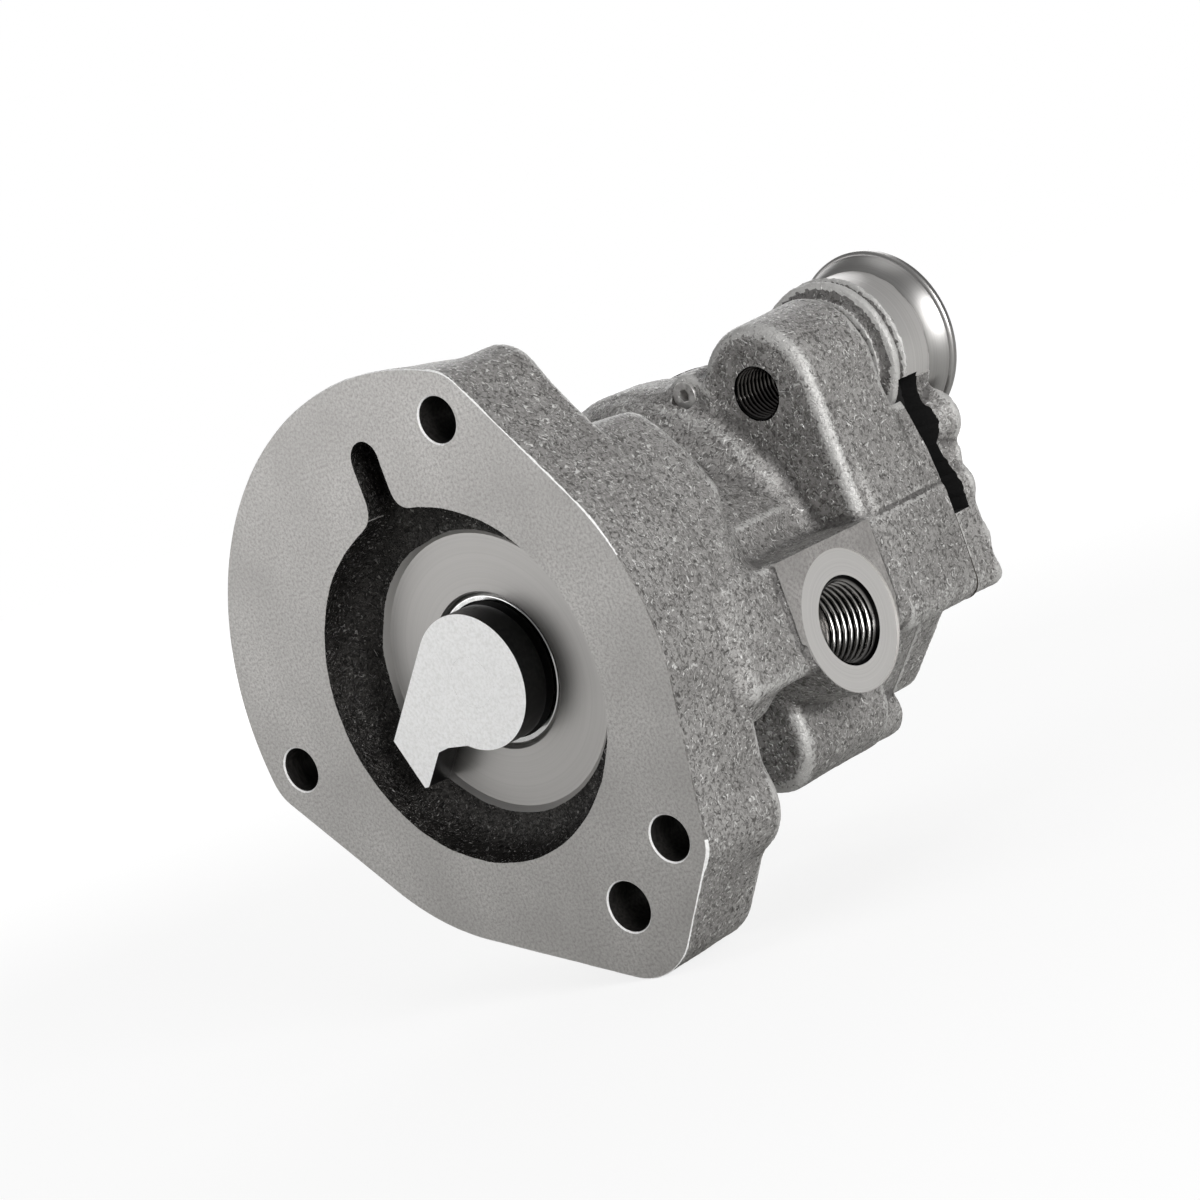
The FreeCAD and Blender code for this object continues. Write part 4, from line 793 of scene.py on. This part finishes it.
def housing():
    block, piece, bend = castHousing()
    piece.data.materials.append(castIron)
    report(f"housing cast, {len(piece.data.polygons)} faces")
    points, facing = roundsOutline(flangeRounds())
    chamfer = flange["chamfer"]
    out, far = flange["chamferOut"]
    section = [(-chamfer - 0.1, -0.1), (out, out + chamfer), (far, out + chamfer), (far, -0.1)]
    count = len(points)
    ringPoints = [(points[i][0] + facing[i][0] * out, along, points[i][1] + facing[i][1] * out)
                  for out, along in section for i in range(count)]
    middles = points + np.roll(points, -1, axis=0)
    turns = np.degrees(np.arctan2(middles[:, 1], middles[:, 0]))
    ringFinish = [int(flange["wornEdge"][0] < turn < flange["wornEdge"][1]) for turn in turns]
    cutters = [
        boxPiece("faceCut", (-90, -8, -90), (90, 0, 90), [faceIron]),
        boxPiece("seamCut", (-90, body["seam"], -90), (90, 130, 90), [faceIron]),
        prismPiece("windowLeadCut", window["lead"], *window["depths"], [windowPaintedShade], "X"),
        boxPiece("facetCut", (port["face"], port["facet"][0] - 1, -40), (80, port["facet"][1] + 1, 20),
                 [facetIron]),
        meshPiece("chamferCut", ringPoints, barFaces(count, count), [chamferHighlightIron, wornIron], ringFinish * 4),
        turnedPiece("boreCut", [
            (0, -6), (recess["landRadius"], -6), (recess["landRadius"], recess["depth"]),
            (recess["landRadius"] - recess["landBevel"], recess["depth"] + recess["landBevel"]),
            (recess["sealBore"] + bores["sealBevel"], recess["depth"] + recess["landBevel"]),
            (recess["sealBore"], recess["depth"] + recess["landBevel"] + bores["sealBevel"]),
            (recess["sealBore"], bores["sealEnd"]), *bores["steps"]],
            steps=160, materials=[boreShadeIron, landIron], finish=[1] * 6 + [0] * 13)]
    for name in ("top", "left", "right", "low"):
        across, height = polar(flange["boltCircle"], flange[name])
        size = flange["lowHoleRadius" if name == "low" else "holeRadius"]
        chamfer = flange["holeChamfer"]
        cutters.append(turnedPiece(f"{name}HoleCut", [
            (0, -4), (size + chamfer + 4, -4), (size, chamfer), (size, 40), (0, 40)],
            (across, 0, height), steps=64, materials=[boreShadeIron, chamferHighlightIron], finish=[1, 1, 0, 0]))
    centre = (port["face"] - port["spotDepth"], port["along"], port["height"])
    mouth = (lug["across"], lug["front"], lug["height"])
    plugMouth = (plug["across"], lug["front"], plug["height"])
    cutters += [
        drill("spotCut", port["spot"], 0, 5, centre, "X", 128, [spotIron]),
        threadCutter("portThreadCut", portThread, centre, "X", [portThreadPaintedShade]),
        drill("portDrillCut", port["drill"], *port["drillDepths"], centre, "X", 48, [boreShadeIron]),
        threadCutter("gaugeThreadCut", gaugeThread, mouth, "Y", [gaugeThreadPaintedShade]),
        drill("plugHoleCut", plug["radius"], -2, plug["length"], plugMouth, "Y", 48, [boreShadeIron])]
    for number, angle in enumerate(screws["angles"]):
        across, height = polar(screws["circle"], angle)
        cutters.append(drill(f"screwHoleCut{number}", screws["hole"], screws["holeFront"], body["through"],
                             (across, 0, height), "Y", 32, [boreShadeIron]))
    cutAway(piece, cutters)
    markEdges(piece, block, bend)
    # the cast faces in the recess take the near-black finish: painted shade
    repaint(piece, castIron, recessShadeIron, inRecess)
    shade(piece)
    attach(piece, "stator")
    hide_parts("pump_housing")
    report(f"housing machined, {len(piece.data.polygons)} faces")


housing()


# Rear cover

cover = {
    "space": ((-54, 104, -62), (72, 129, 64)), "step": 0.62, "grain": 0.03, "broadSkin": (7.0, 0.1),
    "fineSkin": (2.6, 0.06), "skinInset": 0.1, "front": 112.6, "back": 124.0, "rounding": 1.8,
    "slope": 0.95, "blend": 1.5, "scallopBlend": 1.2, "bossBlend": 0.8, "setback": 0.7, "spread": 0.42,
    "land": 19.4, "landFront": 113.7, "landOuter": 24.0, "landTurn": (-30, 188),
    "landWaves": ((0.25, 9, 0), (0.18, 23, 1)), "bossFront": 106.7, "drumClearance": 49.8,
    "profile": ((100, 47.6), (112.6, 47.6), (124, 44.4), (130, 44.4)),
    "scallops": ((58.9, 17.6, 8.4), (57.5, 8.6, 6.6), (57.9, 0.9, 6.9), (58.6, -12.7, 5.4),
                 (59.6, -21.9, 3.9)),
    "boss": ((106.6, 16.4), (108.0, 16.6), (109.0, 19.8), (110.6, 20.3), (111.4, 18.6), (112.2, 18.9),
             (113.0, 20.9), (113.6, 19.9), (124, 19.9)),
    "suctionBore": ((0, 113), (9.5, 113), (9.5, 117), (12, 117), (12, 130), (0, 130))}


def rearCover():
    block = Block(*cover["space"], cover["step"])
    x, y, z = block.x, block.y, block.z
    field = turnedField(block, cover["profile"], cover["slope"])
    for shape in (rearOutline(block, body["side"] - cover["setback"]), flankOutline(block)):
        field = smoothUnion(field, shape, cover["blend"])
    for across, height, size in cover["scallops"]:
        scallop = block.circle(across, height, size) + (cover["back"] - y) * cover["spread"]
        field = smoothUnion(field, scallop, cover["scallopBlend"])
    field = roundedJoin(field, between(y, 90, cover["back"]), cover["rounding"])
    field = np.maximum(field, cover["front"] - y)
    # suction boss: a rough cone up to the turned land
    profile = np.interp(y, *zip(*cover["boss"])).astype(np.float32)
    boss = block.circle(lug["across"], lug["height"], 0) - profile
    boss = np.maximum(boss, between(y, cover["bossFront"], cover["back"]))
    drum = np.sqrt(x * x + z * z) - cover["drumClearance"]
    boss = np.maximum(boss, -drum - 100 * (y > cover["front"]))
    field = smoothUnion(field, boss, cover["bossBlend"])
    piece, bend = block.cast("castCover", field, cover)
    piece.data.materials.append(castIron)
    # the turned land runs out into the rough cone with a wavy edge
    centre = (lug["across"], 0, lug["height"])
    turns = np.radians(np.linspace(*cover["landTurn"], 120))
    front, back = cover["landFront"] + waves(turns, cover["landWaves"]), cover["back"] - 0.01 + 0 * turns
    inner, outer = cover["land"], cover["landOuter"]
    points = np.concatenate([aroundAxis("Y", centre, radius, along, turns) for radius, along in (
        (inner, front), (outer, front), (outer, back), (inner, back))])
    count = len(turns)
    faces = barFaces(count, count - 1)
    faces += [(0, count, 2 * count, 3 * count), (count - 1, 2 * count - 1, 3 * count - 1, 4 * count - 1)]
    # window, with the slightly wavy edge of the casting
    heights = np.linspace(window["low"], window["high"], 60)
    edge = np.interp(heights, *zip(*window["edge"])) + waves(heights, window["waves"])
    cutters = [
        prismPiece("windowCut", [*zip(edge, heights), *reversed(window["front"])], *window["depths"],
                   [windowPaintedShade], "X"),
        boxPiece("coverFaceCut", (-60, 108, -70), (40, cover["front"], 16), [faceIron]),
        meshPiece("landCut", points, faces, [landSteel], [0] * len(faces)),
        turnedPiece("suctionBoreCut", cover["suctionBore"], centre, materials=[boreShadeIron])]
    for number, angle in enumerate(screws["angles"]):
        across, height = polar(screws["circle"], angle)
        cutters.append(turnedPiece(f"screwSeatCut{number}", screws["seat"], (across, 0, height), "Y", 48,
                                   [boreShadeIron]))
    cutAway(piece, cutters)
    markEdges(piece, block, bend)
    shade(piece)
    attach(piece, "stator")
    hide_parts("rear_cover")
    report(f"cover made, {len(piece.data.polygons)} faces")


# turned land that the suction flange sits on: matt, fine rings
landSteel = turnedSteel("turnedLand", {
    "centre": (44.7, 0, 38.8), "axis": "Y", "lineSize": 0.6, "lineDepth": 0.006, "bump": 0.3,
    "dark": "#c3c1bf", "light": "#cfcdcb", "metallic": 0.7, "roughness": 0.42})
rearCover()


# Turned suction flange

# steel flange, turned and left bare: satin rings and a soft highlight
flangeSteel = turnedSteel("brightTurnedSteel", {
    "centre": (44.7, 0, 38.8), "axis": "Y", "lineSize": 0.5, "lineDepth": 0.006, "bump": 0.35,
    "dark": "#a3a1a0", "light": "#b1b0ae", "metallic": 0.95, "roughness": 0.36})
suction = {
    "centre": (44.7, 0, 38.8), "steps": 192,
    "profile": ((9.5, 117), (12, 117), (12, 124), (18.8, 124), (19.2, 124.2), (22.0, 127.7), (22.3, 128.3),
                (22.5, 128.35), (23.0, 128.7), (23.2, 129.0), (23.2, 130.1), (22.7, 130.6), (20, 130.6),
                (19.8, 130.3), (11, 130.3), (10.3, 130.6), (9.9, 130.6), (9.5, 130.2))}
suctionFlange = turnedPiece("turnedSuctionFlange", suction["profile"], suction["centre"], "Y",
                            suction["steps"], [flangeSteel], closed=True)
shade(suctionFlange)
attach(suctionFlange, "stator")
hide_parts("suction_flange")
report("suction flange turned")


# Pieces that keep their shape from the frame, with broken edges where they are seen

# hardened steel ground flat: the front faces of dog and shaft, nearly white as a painted reflection
groundFaceReflection = groundIron("groundSteelPaintedReflection", {
    "grainSize": 0.8, "grainDepth": 0.01, "cloudSize": 16.0, "bump": 0.3, "dark": "#fafafa",
    "light": "#fdfdfd", "speck": "#ebebea", "metallic": 0.25, "roughness": 0.42})
# steel blackened in oil: dark, with a low sheen; on the drive dog the same dark tone is a painted dark
# reflection
darkSteelAndReflection = plainFinish("blackenedSteelAndDarkReflection", {
    "grainSize": 0.9, "grainDepth": 0.02, "dark": "#161616", "light": "#232322", "metallic": 0.6,
    "roughness": 0.4})
# pressed steel seal case, polished: mirror-like
polished = plainFinish("polishedSteel", {
    "grainSize": 2.0, "grainDepth": 0.004, "dark": "#d9d9d9", "light": "#ececec", "metallic": 1.0,
    "roughness": 0.12})
# moulded nitrile rubber: matt black
rubber = plainFinish("sealRubber", {
    "grainSize": 0.7, "grainDepth": 0.02, "dark": "#0b0b0b", "light": "#151515", "metallic": 0.0,
    "roughness": 0.6})
# pressed fibre sheet: matt dark brown
gasketFibre = plainFinish("gasketFibre", {
    "grainSize": 0.8, "grainDepth": 0.05, "dark": "#2c2824", "light": "#3b3630", "metallic": 0.0,
    "roughness": 0.85})
# blasted steel plug: rough and light
plugSteel = plainFinish("blastedSteel", {
    "grainSize": 1.2, "grainDepth": 0.08, "dark": "#b7b5b3", "light": "#d8d7d5", "metallic": 0.7,
    "roughness": 0.32})
# ground and honed bearing steel: bright
bearingSteel = plainFinish("bearingSteel", {
    "grainSize": 1.5, "grainDepth": 0.003, "dark": "#c9c9c8", "light": "#dededd", "metallic": 1.0,
    "roughness": 0.14})
# machined brass cages: satin yellow
brass = plainFinish("machinedBrass", {
    "grainSize": 1.0, "grainDepth": 0.01, "dark": "#b08d4c", "light": "#c9a765", "metallic": 1.0,
    "roughness": 0.3})
# sand-cast bronze impeller: brown and a little rough
bronze = plainFinish("castBronze", {
    "grainSize": 1.2, "grainDepth": 0.08, "dark": "#8d6a3c", "light": "#a9824e", "metallic": 1.0,
    "roughness": 0.45})
# lapped alumina seat: smooth ivory
ceramic = plainFinish("lappedCeramic", {
    "grainSize": 1.0, "grainDepth": 0.003, "dark": "#ddd8cc", "light": "#ebe7dd", "metallic": 0.0,
    "roughness": 0.2})
# lapped carbon ring: smooth, near black
carbon = plainFinish("lappedCarbon", {
    "grainSize": 0.8, "grainDepth": 0.006, "dark": "#1b1b1c", "light": "#29292a", "metallic": 0.0,
    "roughness": 0.35})
# ground shaft steel: satin grey
steel = plainFinish("groundShaftSteel", {
    "grainSize": 1.0, "grainDepth": 0.008, "dark": "#a9a9a8", "light": "#c2c2c1", "metallic": 1.0,
    "roughness": 0.28})

nodeFinish = {
    "cover_gasket": gasketFibre, "cover_screws": darkSteelAndReflection, "cover_dowels": steel,
    "passage_plug": plugSteel, "suction_plate": faceIron, "impeller": bronze, "impeller_washer": steel,
    "impeller_nut": steel, "impeller_key": steel, "dog_key": steel, "drive_shaft": steel,
    "drive_dog": darkSteelAndReflection, "outer_spacer": steel, "inner_spacer": steel, "bearing_circlip": darkSteelAndReflection,
    "shaft_seal_case": polished, "shaft_seal_lip": rubber, "seal_garter_spring": steel,
    "face_seal_seat": ceramic, "face_seal_seat_cord": rubber, "face_seal_ring": carbon,
    "face_seal_bellows": rubber, "face_seal_spring": steel}
for place in ("front", "rear"):
    for part in ("outer_race", "inner_race", "balls"):
        nodeFinish[f"{place}_bearing_{part}"] = bearingSteel
    nodeFinish[f"{place}_bearing_cage"] = brass

for name, material in nodeFinish.items():
    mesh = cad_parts[name].data
    mesh.materials.clear()
    mesh.materials.append(material)


breaking = {"join": 2e-6, "flat": 0.6, "sharp": 35, "segments": 2}
frontFaces = {"lean": -0.6, "behind": 4.2}


def brokenEdges(node, width, name, body, materials, pick=None):
    # the same shape as the frame's node, with its sharp edges bevelled
    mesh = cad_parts[node].data.copy()
    mesh.materials.clear()
    for material in materials:
        mesh.materials.append(material)
    work = bmesh.new()
    work.from_mesh(mesh)
    bmesh.ops.remove_doubles(work, verts=work.verts, dist=breaking["join"])
    flat = math.radians(breaking["flat"])
    bmesh.ops.dissolve_limit(work, angle_limit=flat, verts=work.verts, edges=work.edges)
    work.to_mesh(mesh)
    work.free()
    piece = placed(name, mesh)
    change = piece.modifiers.new("brokenEdges", "BEVEL")
    change.width = width * millimetre
    change.segments = breaking["segments"]
    change.limit_method = "ANGLE"
    change.angle_limit = math.radians(breaking["sharp"])
    change.harden_normals = True
    shade(piece)
    applyModifiers(piece)
    if pick:
        for face in piece.data.polygons:
            face.material_index = pick(face)
    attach(piece, body)
    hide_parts(node)


def facesFront(face):
    # the ground front faces of dog and shaft, which carry the painted reflection
    return int(face.normal.y < frontFaces["lean"] and face.center.y < frontFaces["behind"] * millimetre)


# the dog's sides take the dark finish as a painted dark reflection
brokenEdges("drive_dog", 0.3, "driveDog", "rotor", [darkSteelAndReflection, groundFaceReflection], facesFront)
brokenEdges("drive_shaft", 0.2, "driveShaft", "rotor", [steel, groundFaceReflection], facesFront)
brokenEdges("passage_plug", 0.3, "passagePlug", "stator", [plugSteel])
brokenEdges("cover_screws", 0.3, "coverScrews", "stator", [darkSteelAndReflection])
brokenEdges("shaft_seal_case", 0.25, "sealCase", "stator", [polished])
report("frame pieces finished")


# Camera, where the photograph was taken from

view = {
    "place": (562.1, -534.3, 76.6), "right": (0.69998713, 0.62849995, -0.33912509),
    "down": (-0.18855293, -0.29536613, -0.9365931), "forward": (-0.68881479, 0.71954615, -0.08824698),
    "focalPixels": 3407.55, "picturePixels": 1200, "sensor": 36.0}
lens = bpy.data.cameras.new("photographCamera")
lens.sensor_width = view["sensor"]
lens.lens = view["focalPixels"] / view["picturePixels"] * view["sensor"]
lens.clip_start, lens.clip_end = 0.01, 20
camera = placed("photographCamera", lens)
axes = (view["right"], [-c for c in view["down"]], [-c for c in view["forward"]])
turn = Matrix(axes).transposed().to_4x4()
camera.matrix_world = Matrix.Translation(Vector(view["place"]) * millimetre) @ turn
bpy.context.scene.camera = camera


# Studio: four soft lamps, a pale floor and a white background

lamps = {
    "keyLamp": {"place": (1.12, -0.24, 0.2), "width": 0.6, "power": 13},
    "leftFrontLamp": {"place": (-0.8, -0.85, 0.4), "width": 1.0, "power": 5},
    "topLamp": {"place": (0.2, 0.2, 1.3), "width": 0.8, "power": 1.6},
    "backLamp": {"place": (-0.75, 1.1, 0.45), "width": 1.0, "power": 8}}
for name, lamp in lamps.items():
    data = bpy.data.lights.new(name, "AREA")
    data.size, data.energy = lamp["width"], lamp["power"]
    light = placed(name, data)
    light.location = lamp["place"]
    light.rotation_euler = (-Vector(lamp["place"])).to_track_quat("-Z", "Y").to_euler()

floorLook = {"fade": (0.35, 1.3), "glow": (0.82, 1.0), "seen": "#7c7c7c", "bounce": "#dcdcda", "size": 3000}
skyLook = {"ambient": 0.2, "background": 1.0}

world = bpy.data.worlds.new("studio")
bpy.context.scene.world = world
world.use_nodes = True
tree = world.node_tree
tree.nodes.clear()
white = linear("#ffffff")
toCamera = addNode(tree, "LightPath", "Is Camera Ray")
around = addNode(tree, "Background", 0, {"Color": white, "Strength": skyLook["ambient"]})
seen = addNode(tree, "Background", 0, {"Color": white, "Strength": skyLook["background"]})
addNode(tree, "OutputWorld", None, [addNode(tree, "MixShader", 0, [toCamera, around, seen])])

floorMaterial, tree, place = newMaterial("paleFloor")
toCamera = addNode(tree, "LightPath", "Is Camera Ray")
away = addNode(tree, "VectorMath", "Value", [place], operation="LENGTH")
strength = addNode(tree, "MapRange", 0, [away, *floorLook["fade"], *floorLook["glow"]])
glow = addNode(tree, "Emission", 0, {"Color": white, "Strength": strength})
matt = addNode(tree, "BsdfDiffuse", 0, {"Color": linear(floorLook["seen"])})
both = addNode(tree, "AddShader", 0, [glow, matt])
pale = addNode(tree, "BsdfDiffuse", 0, {"Color": linear(floorLook["bounce"])})
addNode(tree, "OutputMaterial", None, [addNode(tree, "MixShader", 0, [toCamera, pale, both])])
floorLevel = frameBox[0][2] / millimetre
size = floorLook["size"]
floor = boxPiece("studioFloor", (-size, -size, floorLevel - 4), (size, size, floorLevel), [floorMaterial])

bpy.context.scene.view_settings.view_transform = "Standard"
report("studio set")
